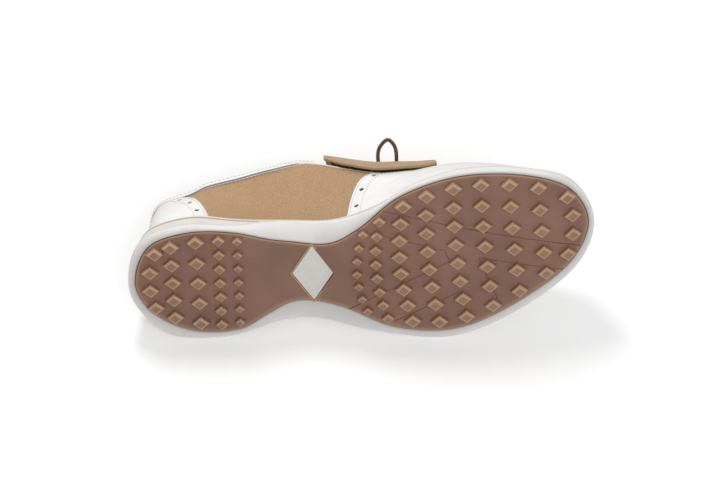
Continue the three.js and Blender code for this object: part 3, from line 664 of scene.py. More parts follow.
def cord():
    k = Look("lace_cord", 0.6, Sheen_Weight=0.05)
    k.place = k.nodes["Texture Coordinate"].outputs["UV"]
    plait = k.maths("MULTIPLY", *(k.waves(1.0, "X", k.stretched((0.28, 4.0, 1), (0, 0, turn)))
                                  for turn in (0.35, -0.35)))
    colour = k.mix(plait, (0.06, 0.024, 0.009), (0.22, 0.095, 0.035))
    fleck = k.maths("MULTIPLY", k.spread(k.noise(3.0, 2), 0.62, 0.7), 0.55)
    return k.finish(k.mix(fleck, colour, (0.34, 0.19, 0.095)), None, k.bump(plait, 0.15, 0.7))


def thread(name, light, dark):
    k = Look(name, 0.7)
    twist = k.waves(900, "DIAGONAL")
    return k.finish(k.mix(twist, dark, light), None, k.bump(twist, 0.05, 0.5))


def brass():
    k = Look("brass", 0.34, Metallic=1.0)
    tarnish = k.spread(k.noise(500, 5), 0.4, 0.65)
    colour = k.mix(tarnish, (0.47, 0.33, 0.15), (0.24, 0.16, 0.08))
    return k.finish(colour, k.spread(tarnish, 0, 1, 0.28, 0.5), k.bump(k.noise(900, 3), 0.02, 0.4))


def speckled(name, light, dark, scale, depth, metallic=0.0, rough=0.8):
    k = Look(name, rough, Metallic=metallic)
    speck = k.noise(scale, 4)
    return k.finish(k.mix(k.spread(speck, 0.35, 0.65), dark, light), None, k.bump(speck, depth, 0.5))


M_GUM = gum_rubber()
M_CUP = white_rubber("white_rubber", (0.78, 0.755, 0.735), (0.71, 0.685, 0.66))
M_BADGE = white_rubber("emblem_rubber", (0.67, 0.64, 0.615), (0.60, 0.57, 0.545))
M_STRIPE = speckled("tan_stripe", (0.54, 0.31, 0.125), (0.47, 0.26, 0.10), 600, 0.02, rough=0.5)
M_WHITE = white_leather()
M_TAN = tan_leather()
M_SUEDE = suede()
M_LINING = knitted("lining_fabric", (0.74, 0.70, 0.62), (0.52, 0.48, 0.41))
M_CORD = cord()
M_THREAD = thread("white_thread", (0.78, 0.77, 0.75), (0.52, 0.51, 0.50))
M_GREY = thread("grey_thread", (0.30, 0.30, 0.33), (0.20, 0.20, 0.23))
M_BRASS = brass()
# Near-black discs under the brogue holes: their colour is painted shadow inside the holes.
M_HOLE_SHADOW = speckled("hole_backing", (0.06, 0.045, 0.035), (0.035, 0.026, 0.02), 700, 0.02)
# The hidden CAD pieces stay as they are and only take a material.
for nodes, core in (
    (("heel_wedge", "forefoot_cushion", "collar_foam"),
     speckled("foam", (0.66, 0.64, 0.60), (0.54, 0.52, 0.48), 1500, 0.1)),
    (("insole_board_rear", "insole_board_front"),
     speckled("board", (0.46, 0.40, 0.31), (0.34, 0.29, 0.22), 300, 0.05)),
    (("toe_puff", "heel_counter"),
     speckled("stiffener", (0.62, 0.59, 0.52), (0.54, 0.51, 0.44), 500, 0.04)),
    (("shank",), speckled("steel", (0.58, 0.59, 0.60), (0.44, 0.45, 0.46), 400, 0.01, 1.0, 0.35)),
):
    for node in nodes:
        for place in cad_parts[node].material_slots:
            place.material = core


def row(x, y, z):
    """A plan point in the frame, in metres."""
    return tuple((np.array([x, y, z], float) - MIDDLE) / 1000)


def flex(obj):
    """Bakes the piece's transform into its mesh."""
    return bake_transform(obj, "rearfoot", "forefoot", row(FLEX_FROM, 0, 10), row(FLEX_TO, 0, 10))


# ------------------------------------------------------------------ sole
def rhombus_ring(centre, long, wide, z, turn, inset=0.0):
    """Four corners of a rhombus moved in by inset from each side."""
    a, b = long / 2, wide / 2
    share = 1 - inset * math.hypot(a, b) / (a * b)
    corners = np.array([[-a, 0], [0, -b], [a, 0], [0, b]]) * share
    c, s = math.cos(turn), math.sin(turn)
    corners = corners @ np.array([[c, s], [-s, c]])
    return np.column_stack([corners + centre, np.full(4, z)])


def rhombus_solid(rings):
    return np.vstack(rings), lids(len(rings), 4) + quads(len(rings), 4)


STUDS = {"large": (11.4, 9.6), "medium": (8.4, 7.4), "small": (6.8, 6.0)}
HEEL_ROW, HEEL_PITCH, BALL_ROW, BALL_PITCH = 12.5, 15.7, 168.5, 17.7
rows = [
    (HEEL_ROW, 4, "large", 0.19, 0.01),
    (HEEL_ROW + HEEL_PITCH, 5, "large", -0.1, 0),
    (HEEL_ROW + 2 * HEEL_PITCH, 5, "large", -0.1, 0),
    (57.5, 7, "medium", -0.12, 0),
    (69, 7, "small", -0.12, 0),
    (141.5, 7, "small", 0, 0.007),
    (153.5, 8, "medium", 0, 0.004),
    *((BALL_ROW + BALL_PITCH * k, count, "large", 0, 0.003 / (k + 1))
      for k, count in enumerate((8, 8, 8, 7, 6, 5))),
    (277.5, 4, "large", -0.42, -0.0095),
]


def stud_places():
    for x, count, size, lean, bow in rows:
        wide = STUDS[size][1]

        def along(y):
            return x + lean * y + bow * (y - 12) ** 2
        ends = []
        for chain, margin in ((tread.medial, wide / 2 + 1.2), (tread.lateral, -wide / 2 - 2.7)):
            y = 0.0
            for _ in range(40):
                y = (y + np.interp(along(y), *chain.T) + margin) / 2
            ends.append(y)
        for y in np.linspace(*ends, count):
            yield along(y), y, size


def studs():
    """Every stud: a flared root, sloping sides, a chamfer and a flat rhombic ground face."""
    parts, tone = [], []
    for x, y, size in stud_places():
        long, wide = STUDS[size]
        # Each ring: its share of the rhombus, its height and how light it is painted. The sides are painted
        # lighter towards the ground face and the chamfer ring lightest, a painted highlight; the darker root
        # is painted shade.
        profile = ((1.14, 4.3, 0.0), (1.0, 3.7, 0.0), (0.95, 1.3, 0.3), (0.92, 0.95, 0.75), (0.68, 0.12, 0.9),
                   (0.62, 0.0, 1.0), (0.55, 0.0, 0.2))
        rings = []
        for share, height, _ in profile:
            ring = rhombus_ring((x, y), long * share, wide * share, 0, math.radians(5))
            ring[:, 2] = ground(ring[:, 0]) + height
            rings.append(ring)
        points, faces = rhombus_solid(rings)
        parts.append((points, faces, [(0, 0)] * len(points)))
        tone += [t for _, _, t in profile for _ in range(4)]
    points, faces, _ = joined(parts)
    return points, faces, tone


EMBLEM = (114.5, 4.5)
E_LONG, E_WIDE, E_TURN = 25.5, 38.5, 0.1
FACE = float(ground(EMBLEM[0])) + 3.6


def badge_ring(lift, inset):
    """The badge's outline, lift mm above its face and inset from its edge."""
    return rhombus_ring(EMBLEM, E_LONG, E_WIDE, FACE + lift, E_TURN, inset)


def outsole():
    levels = [
        (tread.inset(3.2), 4.0), (tread.inset(2.4), 4.1), (tread.inset(1.9), 4.1),
        (tread.inset(1.4), 3.9), (tread.inset(0.5), 3.9), (tread.inset(0.05), 4.3),
        (tread, 5.0), (tread, 7.0),
    ]
    # The last numbers paint the rim lighter, most at its outer edge: a painted highlight along the rim.
    body = plate("outsole_tread", levels, M_GUM, painted_lights=[0, 0.05, 0.1, 0.15, 0.45, 0.6, 0.3, 0])
    tools = []
    grooves = (
        [(163, -34), (280, 11)],
        [(146, -23), (197, -2), (199, 6), (130, 33)],
        [(268, 25), (217, 6), (226, 40)],
        [(203, 28), (160, 44)],
    )
    for line in grooves:
        for (x0, y0), (x1, y1) in zip(line[:-1], line[1:]):
            run = np.linspace(0, 1, 6)
            x, y = x0 + (x1 - x0) * run, y0 + (y1 - y0) * run
            side = np.array([-(y1 - y0), x1 - x0]) / math.hypot(x1 - x0, y1 - y0) * 0.38
            points = []
            for px, py in zip(x, y):
                g = float(ground(px))
                points += [(px - side[0], py - side[1], g + 3.5), (px + side[0], py + side[1], g + 3.5),
                           (px, py, g + 4.6)]
            tools.append((points, quads(6, 3) + lids(6, 3)))
    pocket = rhombus_solid([badge_ring(z, -0.3) for z in (-4, 1.5)])
    for n, (points, faces) in enumerate([pocket] + tools):
        cut(body, make(f"tool_{n}", points, faces, M_GUM))
    shade(body, 30)
    points, faces, tone = studs()
    lugs = make("outsole_studs", points, faces, M_GUM, 25, tone)
    # The rim round the badge is painted light all over: a painted highlight.
    rings = [badge_ring(z, inset) for z, inset in ((0.9, -0.35), (-0.1, -0.4), (-0.1, -0.95), (0.9, -1.1))]
    rim = make("outsole_badge_rim", rings, quads(4, 4, True), M_GUM, 30, [0.9] * 16)
    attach(rim, "rearfoot")
    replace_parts(body, "outsole_rear", "outsole_front")
    flex(body)
    flex(lugs)


def raised(height, lift):
    return lambda x: height(x) + lift


WALL_FOOT, WALL_TOP = 0.55, -0.3


def cupsole():
    levels = [
        (tread.inset(-0.35), 7.3), (tread.inset(-0.35), 4.7), (tread.inset(-0.7), 4.3),
        (tread.inset(-1.6), 4.5),
        *((cup_foot.inset(inset), raised(foot_height, lift)) for inset, lift in (
            (1.0, -1.0), (0.3, -0.4), (0, 0.6), (0.35, 2.6), (0.75, 2.8), (0.75, 3.2), (0.55, 3.4))),
        *((cup_lip.inset(inset), raised(lip_height, lift)) for inset, lift in (
            (WALL_TOP, -2.9), (0.2, -2.7), (0.2, -2.3), (-0.1, -2.1), (0.05, -0.9), (0.35, -0.25), (0.9, 0))),
        (cavity.inset(-0.6), lip_height), (cavity, raised(lip_height, -0.6)), (cavity, 10.0),
    ]
    points, faces, size = band(levels, 180, True)
    # These numbers grey the white wall in thin lines: painted shade in the groove against the tread, at the
    # step on the foot and under the lip.
    tone = np.repeat([0.9, 0.9, 0.9, 0.5, 0, 0, 0, 0.15, 0.5, 0.5, 0.15, 0.1, 0.7, 0.7, 0.1] + [0] * 6, size)
    body = make("cupsole_wall", points, faces, M_CUP, 30, tone)
    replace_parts(body, "cupsole_rear", "cupsole_front")
    flex(body)

    def wall_line(s, drop, proud, side):
        """A line round the heel on the wall, drop mm under the lip and proud of the wall."""
        x = cup_foot.at(s)[0]
        foot, top = foot_height(x) + 3.4, lip_height(x) - 2.9
        t = (lip_height(x) - drop - foot) / (top - foot)
        lower, upper = cup_foot.inset(WALL_FOOT - proud).at(s), cup_lip.inset(WALL_TOP - proud).at(s)
        k = 1 if side == "medial" else 2
        return np.stack([lower[0] + (upper[0] - lower[0]) * t, lower[k] + (upper[k] - lower[k]) * t,
                         ground(x) + lip_height(x) - drop], -1)
    s = rounded(180)
    s = np.r_[s[s < 0.288], 0.29]
    loops = [np.vstack([wall_line(s[::-1], *line, "medial"), wall_line(s[1:], *line, "lateral")])
             for line in ((5.4, -0.3), (5.4, 0.05), (3.5, 0.05), (3.5, -0.3))]
    n = len(loops[0])
    faces = quads(4, n, True, False) + [(0, n, 2 * n, 3 * n), (4 * n - 1, 3 * n - 1, 2 * n - 1, n - 1)]
    stripe = make("heel_stripe", np.vstack(loops), faces, M_STRIPE, 40)
    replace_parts(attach(stripe, "rearfoot"), "heel_pinstripe")


def badge():
    rings = [(0, 1.15), (0, 0.3), (0.35, 0.0), (1.5, 0.0), (1.8, 0.35), (2.7, 0.35), (2.9, 0.12), (3.4, 0.12),
             (3.6, 0.35)]
    points, faces = rhombus_solid([badge_ring(z, inset) for inset, z in rings])
    body = make("badge", points, faces, M_BADGE, 20)
    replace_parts(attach(body, "rearfoot"), "waist_emblem")


# ------------------------------------------------------------------ upper
def toe_grid(depth, curve, cols, arc, ease):
    """The face ahead of an edge curve, over the ridge from one side to the other."""
    u = 1 - (1 - np.linspace(0, 1, cols)) ** ease
    grid = []
    for side, angles in (("medial", np.linspace(0, HALF_TURN, arc)),
                         ("lateral", np.linspace(HALF_TURN, 0, arc)[1:])):
        start = edge_s(angles, side, curve)[:, None]
        grid.append(last(start + (1 - start) * u, side, angles[:, None], depth))
    return np.vstack(grid)


def edge_path(side, curve, offset, high, low, ahead):
    """A line on the face a set distance from an edge curve, with its normals."""
    angle = np.linspace(low, high, 160)
    s = edge_s(angle, side, curve)
    edge = last(s, side, angle)
    n = normal(s, side, angle)
    away = np.cross(n, unit(np.gradient(edge, axis=0)))
    if (away[:, 0].mean() < 0) == ahead:
        away = -away
    s2, angle2 = project(edge + away * offset, s, angle, side)
    line = last(s2, side, angle2)
    below = line[:, 2] < collar(line[:, 0]) - 4
    return line[below], normal(s2, side, angle2)[below]


HOLE_PITCH, HOLE_RADIUS = 15.5, 1.5


def holes(paths):
    """Cutting rods and near-black backing discs, painted shadow inside the holes, for a row of perforations
    along each path.
    """
    rods, discs = [], []
    for line, normals in paths:
        run = distance(line)
        for at in np.arange(HOLE_PITCH * 0.7, run[-1] - 1, HOLE_PITCH):
            p, out = sample(at, run, line), unit(sample(at, run, normals))
            rods.append(tube(np.array([p - out * 3, p + out * 2]), HOLE_RADIUS, 20))
            discs.append(tube(np.array([p - out * 1.25, p - out * 0.7]), HOLE_RADIUS + 0.15, 20))
    return joined(rods), joined(discs)


def brogued(body, name, curve, hole_offset, hole_high, row_offsets, row_high, low, ahead):
    """Cuts a row of holes along each side's edge curve and sews a row on either side of it."""
    rods, discs = holes([edge_path(side, curve, hole_offset, hole_high, low, ahead) for side in SIDES])
    cut(body, make(f"tool_{name}", *rods[:2], M_WHITE))
    shade(body)
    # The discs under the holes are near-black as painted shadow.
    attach(make(f"{name}_hole_backing", *discs[:2], M_HOLE_SHADOW), "rearfoot")
    for side in SIDES:
        for k, offset in enumerate(row_offsets):
            stitches(f"{name}_stitch_{side}_{k + 1}", *edge_path(side, curve, offset, row_high, low, ahead),
                     M_THREAD, 2.4, 0.22)


def vamp():
    skin = [toe_grid(depth, wing, 110, 34, 1.7) for depth in (0, LEATHER)]
    body = sheet("vamp", *skin, M_WHITE, "abc")
    brogued(body, "vamp", wing, 5.2, 1.3, (1.6, 8.6), 1.35, 0.12, True)
    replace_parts(body, "vamp_rear", "vamp_front")
    flex(body)
    knit = [toe_grid(depth, lambda z: z * 0 + 162, 50, 24, 1) for depth in (LINER, LINER + LINING)]
    inner = sheet("vamp_lining", *knit, M_LINING, "abc", 0)
    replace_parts(inner, "vamp_lining_rear", "vamp_lining_front")
    flex(inner)


def side_grid(side, depth, end_x):
    """The face of one side, back to the heel, depth mm in."""
    turn = math.pi * 0.6
    s = (1 - np.cos(np.linspace(0, 1, 130) * turn)) / (1 - math.cos(turn)) * at_station(end_x)
    return last(s[:, None], side, top_angle(s, side)[:, None] * np.linspace(0, 1, 30)[None], depth)


def quarters():
    for side in SIDES:
        body = sheet(f"quarter_skin_{side}", side_grid(side, QUARTER - 0.5, 184),
                     side_grid(side, QUARTER + LEATHER, 184), M_TAN)
        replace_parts(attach(body, "rearfoot"), f"quarter_{side}")
        inner = sheet(f"quarter_lining_{side}_knit", side_grid(side, LINER, 165),
                      side_grid(side, LINER + LINING, 165), M_LINING, "abcd", 0)
        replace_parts(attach(inner, "rearfoot"), f"quarter_lining_{side}")


def cap_grid(depth):
    """The face behind the heel cap's edge, from the medial edge round to the lateral one."""
    grid = []
    u, v = np.linspace(0, 1, 60), np.linspace(0, 1, 34)
    for side, order in (("medial", u[::-1]), ("lateral", u[1:])):
        s = np.repeat(order[:, None] ** 1.6 * 0.13, len(v), 1)
        for _ in range(10):
            angle = top_angle(s, side) * v[None]
            s = edge_s(angle, side, cap) * order[:, None] ** 1.6
        grid.append(last(s, side, angle, depth))
    return np.vstack(grid)


def heel_cap():
    body = sheet("heel_cap_leather", cap_grid(0), cap_grid(LEATHER), M_WHITE)
    brogued(body, "cap", cap, 5.0, 0.8, (1.5, 8.0), 0.86, 0.1, False)
    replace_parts(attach(body, "rearfoot"), "heel_cap")


COLLAR_END, CUSHION_END, CUSHION_TALL = 117, 97, 21.0


def round_heel(end_x, count):
    """Stations from a medial end at end_x round the heel to the lateral end."""
    s = (1 - np.cos(np.linspace(0, 1, count) * HALF_TURN)) * at_station(end_x)
    return ("medial", s[::-1]), ("lateral", s[1:])


def collar_path():
    """The collar's edge from the medial front round the heel to the lateral front."""
    lines, outs = [], []
    for side, order in round_heel(COLLAR_END, 120):
        angle = top_angle(order, side)
        lines.append(last(order, side, angle))
        outs.append(normal(np.maximum(order, 0.004), side, angle))
    line, out = np.vstack(lines), np.vstack(outs)
    for _ in range(3):
        out[1:-1] = (out[:-2] + out[1:-1] * 2 + out[2:]) / 4
    return line, unit(out)


def sweep(section, line, out):
    """A closed section of (inward, up) points carried along the collar."""
    along = unit(np.gradient(line, axis=0))
    level = unit(out - along * (out * along).sum(1)[:, None])
    up = np.cross(level, along)
    up *= np.sign(up[:, 2])[:, None]
    points = line[:, None] - section[None, :, :1] * level[:, None] + section[None, :, 1:] * up[:, None]
    size = points.shape[:2]
    return points, quads(*size) + lids(*size)


def cushion_grids():
    """The padded lining under the collar: its swollen face and its flat back."""
    v = np.linspace(0, 1, 14)
    swell = 5.3 + 3.0 * np.sin(math.pi * v) ** 0.6
    face, back = [], []
    for side, order in round_heel(CUSHION_END, 110):
        top = top_angle(order, side)
        low = angle_under(raised(collar, -CUSHION_TALL), order, side, top)
        angle = top[:, None] - (top - low)[:, None] * (0.06 + 0.94 * v[None])
        face.append(np.stack([last(order, side, angle[:, j], round(d, 3)) for j, d in enumerate(swell)], 1))
        back.append(last(order[:, None], side, angle, 4.9))
    return np.vstack(face), np.vstack(back)


def trim(name, line, radius, material):
    """A round cord of leather sewn along a line."""
    points, faces, _ = tube(spaced(line, 0.8), radius, 10)
    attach(make(name, points, faces, material, 60), "rearfoot")


def collar_pieces():
    line, out = collar_path()
    roll = catmull([(0.6, -2.2), (-0.55, -1.4), (-0.9, 0.4), (-0.2, 2.2), (1.6, 3.0), (3.8, 2.9), (5.6, 1.6),
                    (6.3, -0.8), (5.9, -2.6), (3.2, -1.6)], 5, True)
    points, faces = sweep(roll, line, out)
    binding = make("collar_roll", points, faces, M_WHITE, 60)
    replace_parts(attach(binding, "rearfoot"), "collar_binding")
    pad = puff(sheet("collar_pad", *cushion_grids(), M_LINING, "abcd", 0), 0.6, 1.1)
    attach(pad, "rearfoot")
    trim("collar_piping", line + out * 0.15 - np.array([0, 0, 2.0]), 0.5, M_GREY)
    for name, drop, strand, lift in (("collar_stitch_low", 3.4, M_GREY, -0.75),
                                      ("collar_stitch_high", -0.6, M_THREAD, 1.0)):
        stitches(name, line + out * lift - np.array([0, 0, drop]), out, strand, 2.6, 0.2)


def facing_foot(x):
    return np.interp(x, [100, 124, 150, 175], [80, 78, 62, 46])


def facings():
    u, v = np.linspace(0, 1, 46), np.linspace(0, 1, 26)
    for side in SIDES:
        start = at_station(112)
        s = start + u[:, None] * 0.2 + 0 * v[None]
        for _ in range(8):
            top = top_angle(s, side)
            low = np.minimum(angle_under(facing_foot, s, side), top - 0.02)
            angle = low + (top - low) * v[None]
            end = np.minimum(edge_s(angle, side, wing), 0.56) - 0.004
            s = start + (end - start) * u[:, None]
        thin = (np.clip(u * 4, 0, 1)[:, None] * np.clip(v * 3, 0, 1)[None])[..., None]
        outer = last(s, side, angle, 0.3) * thin + last(s, side, angle, 1.05) * (1 - thin)
        body = sheet(f"facing_{side}_leather", outer, last(s, side, angle, 1.25), M_TAN,
                     round_edge=0.1)
        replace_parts(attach(body, "rearfoot"), f"facing_{side}")
        edge = s[:, -1], side, angle[:, -1]
        trim(f"throat_edge_{side}", last(*edge) + normal(*edge) * 0.2, 0.75, M_WHITE)


def throat_piping():
    """A pale cord along the top of each quarter, from the collar's front to the wing."""
    x = np.linspace(113, 157, 90)
    s = at_station(x)
    height = np.interp(x, [113, 125, 157], [97.5, 89, 67])
    for side in SIDES:
        angle = angle_under(lambda _: height, s, side)
        trim(f"throat_piping_{side}", last(s, side, angle) - normal(s, side, angle) * 0.4, 0.7, M_WHITE)


def tongue():
    x = np.linspace(99, 176, 60)
    low_y = np.interp(x, [99, 104, 150, 172, 176], [-19.5, -20.3, -20.5, -18, -9])
    high_y = np.interp(x, [99, 104, 150, 172, 176], [15, 18, 13, 9, -5])
    v = np.linspace(0, 1, 30)
    y = low_y[:, None] + (high_y - low_y)[:, None] * v[None]
    grid = [plan_point(x[:, None] + 0 * y, y, TONGUE_OUT + extra) for extra in (0.5, TONGUE_THICK - 0.4)]
    hem = np.interp(x, [90, 124, 150, 180], [88, 74, 58, 46])[:, None]
    for g in grid:
        g[..., 2] = np.maximum(g[..., 2], hem)
    body = sheet("tongue_suede", grid[0], grid[1], M_SUEDE, "abcd", 0.6)
    puff(body, 0.7, 1.0)
    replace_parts(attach(body, "tongue"), "tongue")


kiltie_rise = through([(140, 0), (158, -0.5), (172, -2), (200, -3.2)])


def kiltie_grid(x, q, under=0.0):
    """Points of the kiltie at q mm across from its centre line: it lies clear of the laces, then
    turns down over each side; under moves them in through its thickness."""
    x, q = np.broadcast_arrays(np.asarray(x, float), np.asarray(q, float))
    turn_at = np.interp(x, [124, 150, 172, 197], [20, 23, 25, 26])
    flat, side = np.clip(q, -turn_at, turn_at), np.sign(q)
    here = plan_point(x, KILTIE_Y + flat, KILTIE_OUT, kiltie_rise)
    inside = plan_point(x, KILTIE_Y + flat - side, KILTIE_OUT, kiltie_rise)
    slope = np.arctan2(inside[..., 2] - here[..., 2], np.abs(here[..., 1] - inside[..., 1]) + 1e-6)
    extra = np.abs(q) - np.abs(flat)

    def pitch(run):
        bent = np.clip(run / 4.5, 0, 1)
        return slope + (HALF_TURN - slope) * bent * bent * (3 - 2 * bent)
    across, down = np.zeros_like(q), np.zeros_like(q)
    for k in range(12):
        angle = pitch(extra * (k + 0.5) / 12)
        across += np.cos(angle) * extra / 12
        down += np.sin(angle) * extra / 12
    end = pitch(extra)
    here[..., 1] += side * (across - under * np.sin(end))
    here[..., 2] -= down + under * np.cos(end)
    return here


def kiltie():
    """One flap of suede: a panel under the bow and, ahead of it, a fringe of strips."""
    x = np.linspace(124, 184, 50)
    v = np.linspace(0, 1, 72)
    low = np.interp(x, [124, 136, 150, 184], [-27, -32, -34, -35])
    high = np.interp(x, [124, 136, 150, 184], [24, 28, 29, 33])
    q = low[:, None] + (high - low)[:, None] * v[None]
    wave = np.zeros(q.shape + (3,))
    wave[..., 1] = 0.5 * np.sin(x[:, None] / 8 + v[None] * 2) * (2 * v[None] - 1) ** 4
    outer = kiltie_grid(x[:, None], q) + wave
    inner = kiltie_grid(x[:, None], q, KILTIE_THICK) + wave
    body = sheet("kiltie_flap", outer, inner, M_SUEDE, "abcd", 0.35)
    strips = 9
    for i in range(strips):
        a = low[-1] + (high[-1] - low[-1]) * i / strips + 0.4
        b = low[-1] + (high[-1] - low[-1]) * (i + 1) / strips - 0.4
        t = np.linspace(0, 1, 14)
        end = 196.2 + 0.5 * math.sin(i * 2.1)
        sx = 183.5 + (end - 183.5) * t
        taper = 0.2 * t[:, None] ** 2
        sq = a + (b - a) * (taper + (1 - 2 * taper) * np.linspace(0, 1, 8)[None])
        curl = np.zeros(sq.shape + (3,))
        curl[..., 2] = (0.5 * t**2 * math.sin(i * 1.7 + 0.6))[:, None]
        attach(sheet(f"kiltie_strip_{i + 1}", kiltie_grid(sx[:, None], sq) + curl,
                      kiltie_grid(sx[:, None], sq, KILTIE_THICK) + curl, M_SUEDE, "abcd", 0.35),
                "kiltie_fringe")
    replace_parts(body, "kiltie_panel", "kiltie_fringe")
    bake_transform(body)


def sockliner():
    base = raised(board_height, 2.1)
    levels = [(board.inset(inset), raised(base, lift)) for inset, lift in (
        (0.8, 0), (0.5, 1.6), (0.9, 2.9), (2.2, 3.5), (4.5, 3.3))]
    body = puff(plate("sockliner_pad", levels, M_LINING, 110, smooth=60), 0.5, 1.8)
    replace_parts(body, "sockliner_rear", "sockliner_front")
    flex(body)


# ------------------------------------------------------------------ laces
def face_point(x, side, reach, lift=0.0):
    """Face point and normal at station x, reach mm to one side of the ridge."""
    s = np.array(at_station(x))

    def outside(angle):
        p = last(s, side, angle, -lift)
        return np.abs(p[..., 1] - ridge_side(x)) >= reach
    angle = crossing(outside, np.zeros_like(s), np.full_like(s, HALF_TURN))
    return last(s, side, angle, -lift), normal(s, side, angle, -lift)


def lathe(profile, centre, axis, sides=36):
    """A closed (radius, height) profile turned round an axis."""
    axis = unit(axis)
    a = unit(np.cross(axis, [0.31, 0.87, 0.2]))
    b = np.cross(axis, a)
    turn = np.linspace(0, 2 * math.pi, sides, endpoint=False)
    ring = np.cos(turn)[:, None] * a + np.sin(turn)[:, None] * b
    return np.vstack([centre + ring * r + axis * h for r, h in profile]), quads(len(profile), sides, True)


EYELETS = ((128, 18), (140, 17.5), (152, 17))


def eyelets():
    profile = [(1.85, -2.8), (2.2, -2.8), (2.2, 0.5), (3.3, 0.5), (3.5, 0.75), (3.3, 1.05), (2.7, 1.2),
               (2.1, 1.1), (1.85, 0.8)]
    for n, (x, reach) in enumerate(EYELETS, 1):
        for side in SIDES:
            ring = make(f"eyelet_ring_{side}_{n}", *lathe(profile, *face_point(x, side, reach)), M_BRASS, 50)
            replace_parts(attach(ring, "rearfoot"), f"eyelet_{side}_{n}")


def lace(name, points, body, node):
    cord_points, faces, uv = tube(spaced(catmull(points, 16), 0.4), 1.25, 20, strands=8)
    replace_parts(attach(make(name, cord_points, faces, M_CORD, 70, uv=uv), body), node)


def laces():
    for n, (x, reach) in enumerate(EYELETS, 1):
        ends = {}
        for side in SIDES:
            centre, axis = face_point(x, side, reach)
            ends[side] = [centre + axis * lift for lift in (-1.4, 2.1)]
        spans = [face_point(x, side, reach * 0.7, 2.7)[0] for side in SIDES]
        crown = face_point(x, "medial", 0.5, 2.1)[0]
        lace(f"lace_across_{n}", [*ends["medial"], spans[0], crown, spans[1], *ends["lateral"][::-1]],
             "rearfoot", f"lace_bar_{n}")
    low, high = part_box("lace_knot")
    knot = np.array((low + high) / 2) * 1000 + MIDDLE
    turn = np.linspace(0, 2 * math.pi, 90, endpoint=False)
    trefoil = np.stack([np.sin(turn) + 2 * np.sin(2 * turn), np.cos(turn) - 2 * np.cos(2 * turn),
                        -np.sin(3 * turn)], 1) * np.array([1.15, 0.95, 1.1])
    points, faces, uv = tube(knot + trefoil, 1.15, 16, closed=True, strands=8)
    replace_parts(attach(make("bow_knot", points, faces, M_CORD, 70, uv=uv), "rearfoot"), "lace_knot")
    bow = {
        "lace_loop_medial": [(-2, -5, 1), (-4, -14, 2), (-2.5, -22, 6), (3.5, -26.5, 8), (7.5, -23, 5),
                             (7.5, -14, -0.5), (3.5, -5, -1.2)],
        "lace_loop_lateral": [(-2, 5, 1.5), (-5, 14, 3), (-4, 25, 1), (2, 30, -2.5), (8, 25, -4),
                              (8, 14, -3), (4, 5, -1.5)],
        "lace_tail_rear": [(-5, -0.5, 3.6), (-11, -2, 9.5), (-18, -1, 15.5), (-24, 1, 20.5)],
        "lace_tail_lateral": [(-4.5, 3.5, 3.5), (-9, 12, 7), (-11, 21, 4), (-12, 28, -3)],
    }
    for name, offsets in bow.items():
        line = knot + np.array(offsets, float)
        inner = knot + (line[[0, -1]] - knot) * 0.85
        lace(name + "_cord", [inner[0], *line, *(inner[1:] if "loop" in name else [])], name, name)
        if "tail" in name:
            axis = unit(line[-1] - line[-2])
            profile = [(0.01, -0.4), (1.3, -0.4), (1.42, 0.1), (1.42, 8.5), (1.1, 9.0), (0.01, 9.1)]
            node = name.replace("lace_tail", "aglet")
            tip = make(node + "_tip", *lathe(profile, line[-1] + axis * 0.6, axis, 24), M_BRASS, 50)
            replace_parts(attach(tip, name), node)


outsole()
cupsole()
badge()
vamp()
quarters()
heel_cap()
collar_pieces()
facings()
throat_piping()
tongue()
kiltie()
sockliner()
eyelets()
laces()


# ------------------------------------------------------------------ stage
def floor_material(name, from_beneath):
    """Pale floor that only the camera sees, and only from its own side."""
    k = Look(name, 0.9, Base_Color=(0.93, 0.93, 0.93, 1), Specular_IOR_Level=0, Emission_Color=(1, 1, 1, 1),
             Emission_Strength=0.08)
    geometry = k.nodes.new("ShaderNodeNewGeometry")
    seen = k.maths("SUBTRACT", 1.0, geometry.outputs["Backfacing"])
    if from_beneath:
        height = k.node("SeparateXYZ", "Z", Vector=geometry.outputs["Incoming"])
        seen = k.maths("MULTIPLY", seen, k.maths("LESS_THAN", height, -0.15))
    mixed = k.nodes.new("ShaderNodeMixShader")
    clear = k.nodes.new("ShaderNodeBsdfTransparent")
    for socket, source in zip(mixed.inputs, (seen, clear.outputs[0], k.shader.outputs[0])):
        k.links.new(source, socket)
    k.links.new(mixed.outputs[0], k.nodes["Material Output"].inputs["Surface"])
    return k.material


FLOOR_HALF = 4.0


def turned(place, facing):
    """A transform that puts an object at a place with its Z axis along facing."""
    return Matrix.Translation(place) @ Vector(facing).to_track_quat("Z", "Y").to_matrix().to_4x4()


def link(obj):
    bpy.context.scene.collection.objects.link(obj)
    return obj


def floor(name, centre, facing, material):
    mesh = bpy.data.meshes.new(name)
    corners = [(x * FLOOR_HALF, y * FLOOR_HALF, 0) for x, y in ((-1, -1), (1, -1), (1, 1), (-1, 1))]
    mesh.from_pydata(corners, [], [(0, 1, 2, 3)])
    mesh.materials.append(material)
    obj = link(bpy.data.objects.new(name, mesh))
    obj.matrix_world = turned(centre, facing)
    obj.visible_diffuse = obj.visible_glossy = obj.visible_transmission = obj.visible_shadow = False


# The shoe is photographed lying on its lateral side.  The side floor touches the sole's lateral
# edge at the heel and at the ball, LEAN off upright and SKEW off the shoe's length.
LEAN, SKEW = math.radians(23), math.radians(7)
side_facing = (math.sin(SKEW) * math.cos(LEAN), -math.cos(SKEW) * math.cos(LEAN), -math.sin(LEAN))
floor("studio_floor", (0, 0, 0), (0, 0, 1), floor_material("floor_top", False))
floor("side_floor", row(194, 61.6, 7), side_facing, floor_material("floor_side", True))

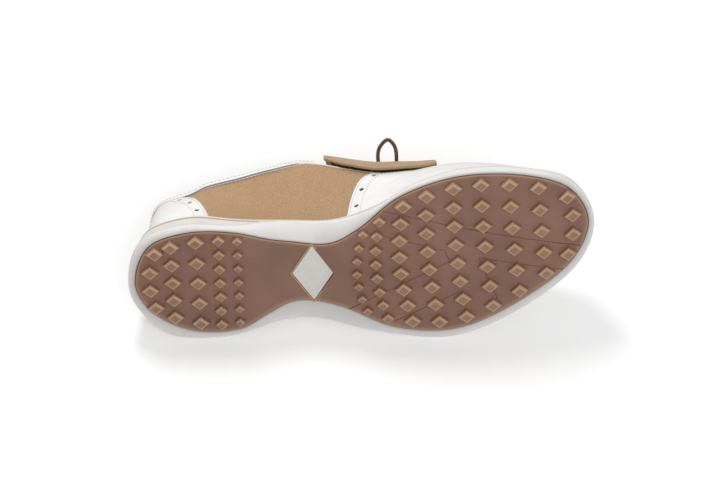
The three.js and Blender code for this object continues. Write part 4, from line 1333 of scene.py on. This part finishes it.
# The photograph's viewpoint: from beneath and the medial side.  FAR is the distance to the shoe,
# VIEW_WIDTH what the picture spans there, and ASIDE and ABOVE the camera's shift, all in mm.
TILT, SWING, ROLL = math.radians(29), math.radians(4), math.radians(6.5)
FAR, VIEW_WIDTH, ASIDE, ABOVE = 1600.0, 445.0, -1.24, 1.85
x_axis, y_axis, z_axis = np.eye(3)
ahead0 = z_axis * math.cos(TILT) + y_axis * math.sin(TILT)
up0 = z_axis * math.sin(TILT) - y_axis * math.cos(TILT)
right0 = x_axis * math.cos(SWING) + ahead0 * math.sin(SWING)
ahead = ahead0 * math.cos(SWING) - x_axis * math.sin(SWING)
right = right0 * math.cos(ROLL) - up0 * math.sin(ROLL)
up = up0 * math.cos(ROLL) + right0 * math.sin(ROLL)
target = np.array([146.2, -5.0, 20.0]) - MIDDLE
where = (target - ahead * FAR + right * ASIDE + up * ABOVE) / 1000
camera = link(bpy.data.objects.new("camera", bpy.data.cameras.new("camera")))
camera.data.sensor_width = 36
camera.data.lens = camera.data.sensor_width * FAR / VIEW_WIDTH
camera.matrix_world = Matrix.Translation(where) @ Matrix((right, up, -ahead)).transposed().to_4x4()
bpy.context.scene.camera = camera


def light(name, position, size, power):
    data = bpy.data.lights.new(name, "AREA")
    data.shape = "DISK"
    data.size = size
    data.energy = power
    obj = link(bpy.data.objects.new(name, data))
    obj.matrix_world = turned(position, Vector(position) - Vector((0, 0, 0.03)))


up_v, ahead_v, right_v = Vector(up), Vector(ahead), Vector(right)
light("key", up_v * 1.0 - ahead_v * 0.35 - right_v * 0.2, 0.28, 4.4)
light("front", -ahead_v * 1.3 + right_v * 0.3 - up_v * 0.25, 1.0, 7.5)
light("top_left", Vector((-0.5, -0.7, 1.1)), 0.9, 3)
light("top_right", Vector((0.6, 0.8, 1.0)), 0.9, 2)
world = bpy.data.worlds.new("studio")
world.use_nodes = True
background = world.node_tree.nodes["Background"]
background.inputs["Color"].default_value = (1, 1, 1, 1)
# The camera sees plain white; the shoe is lit by a dimmer world.
seen_by_camera = world.node_tree.nodes.new("ShaderNodeLightPath")
strength = world.node_tree.nodes.new("ShaderNodeMapRange")
strength.inputs["To Min"].default_value = 0.56
world.node_tree.links.new(seen_by_camera.outputs["Is Camera Ray"], strength.inputs["Value"])
world.node_tree.links.new(strength.outputs["Result"], background.inputs["Strength"])
bpy.context.scene.world = world
bpy.context.scene.view_settings.view_transform = "Standard"
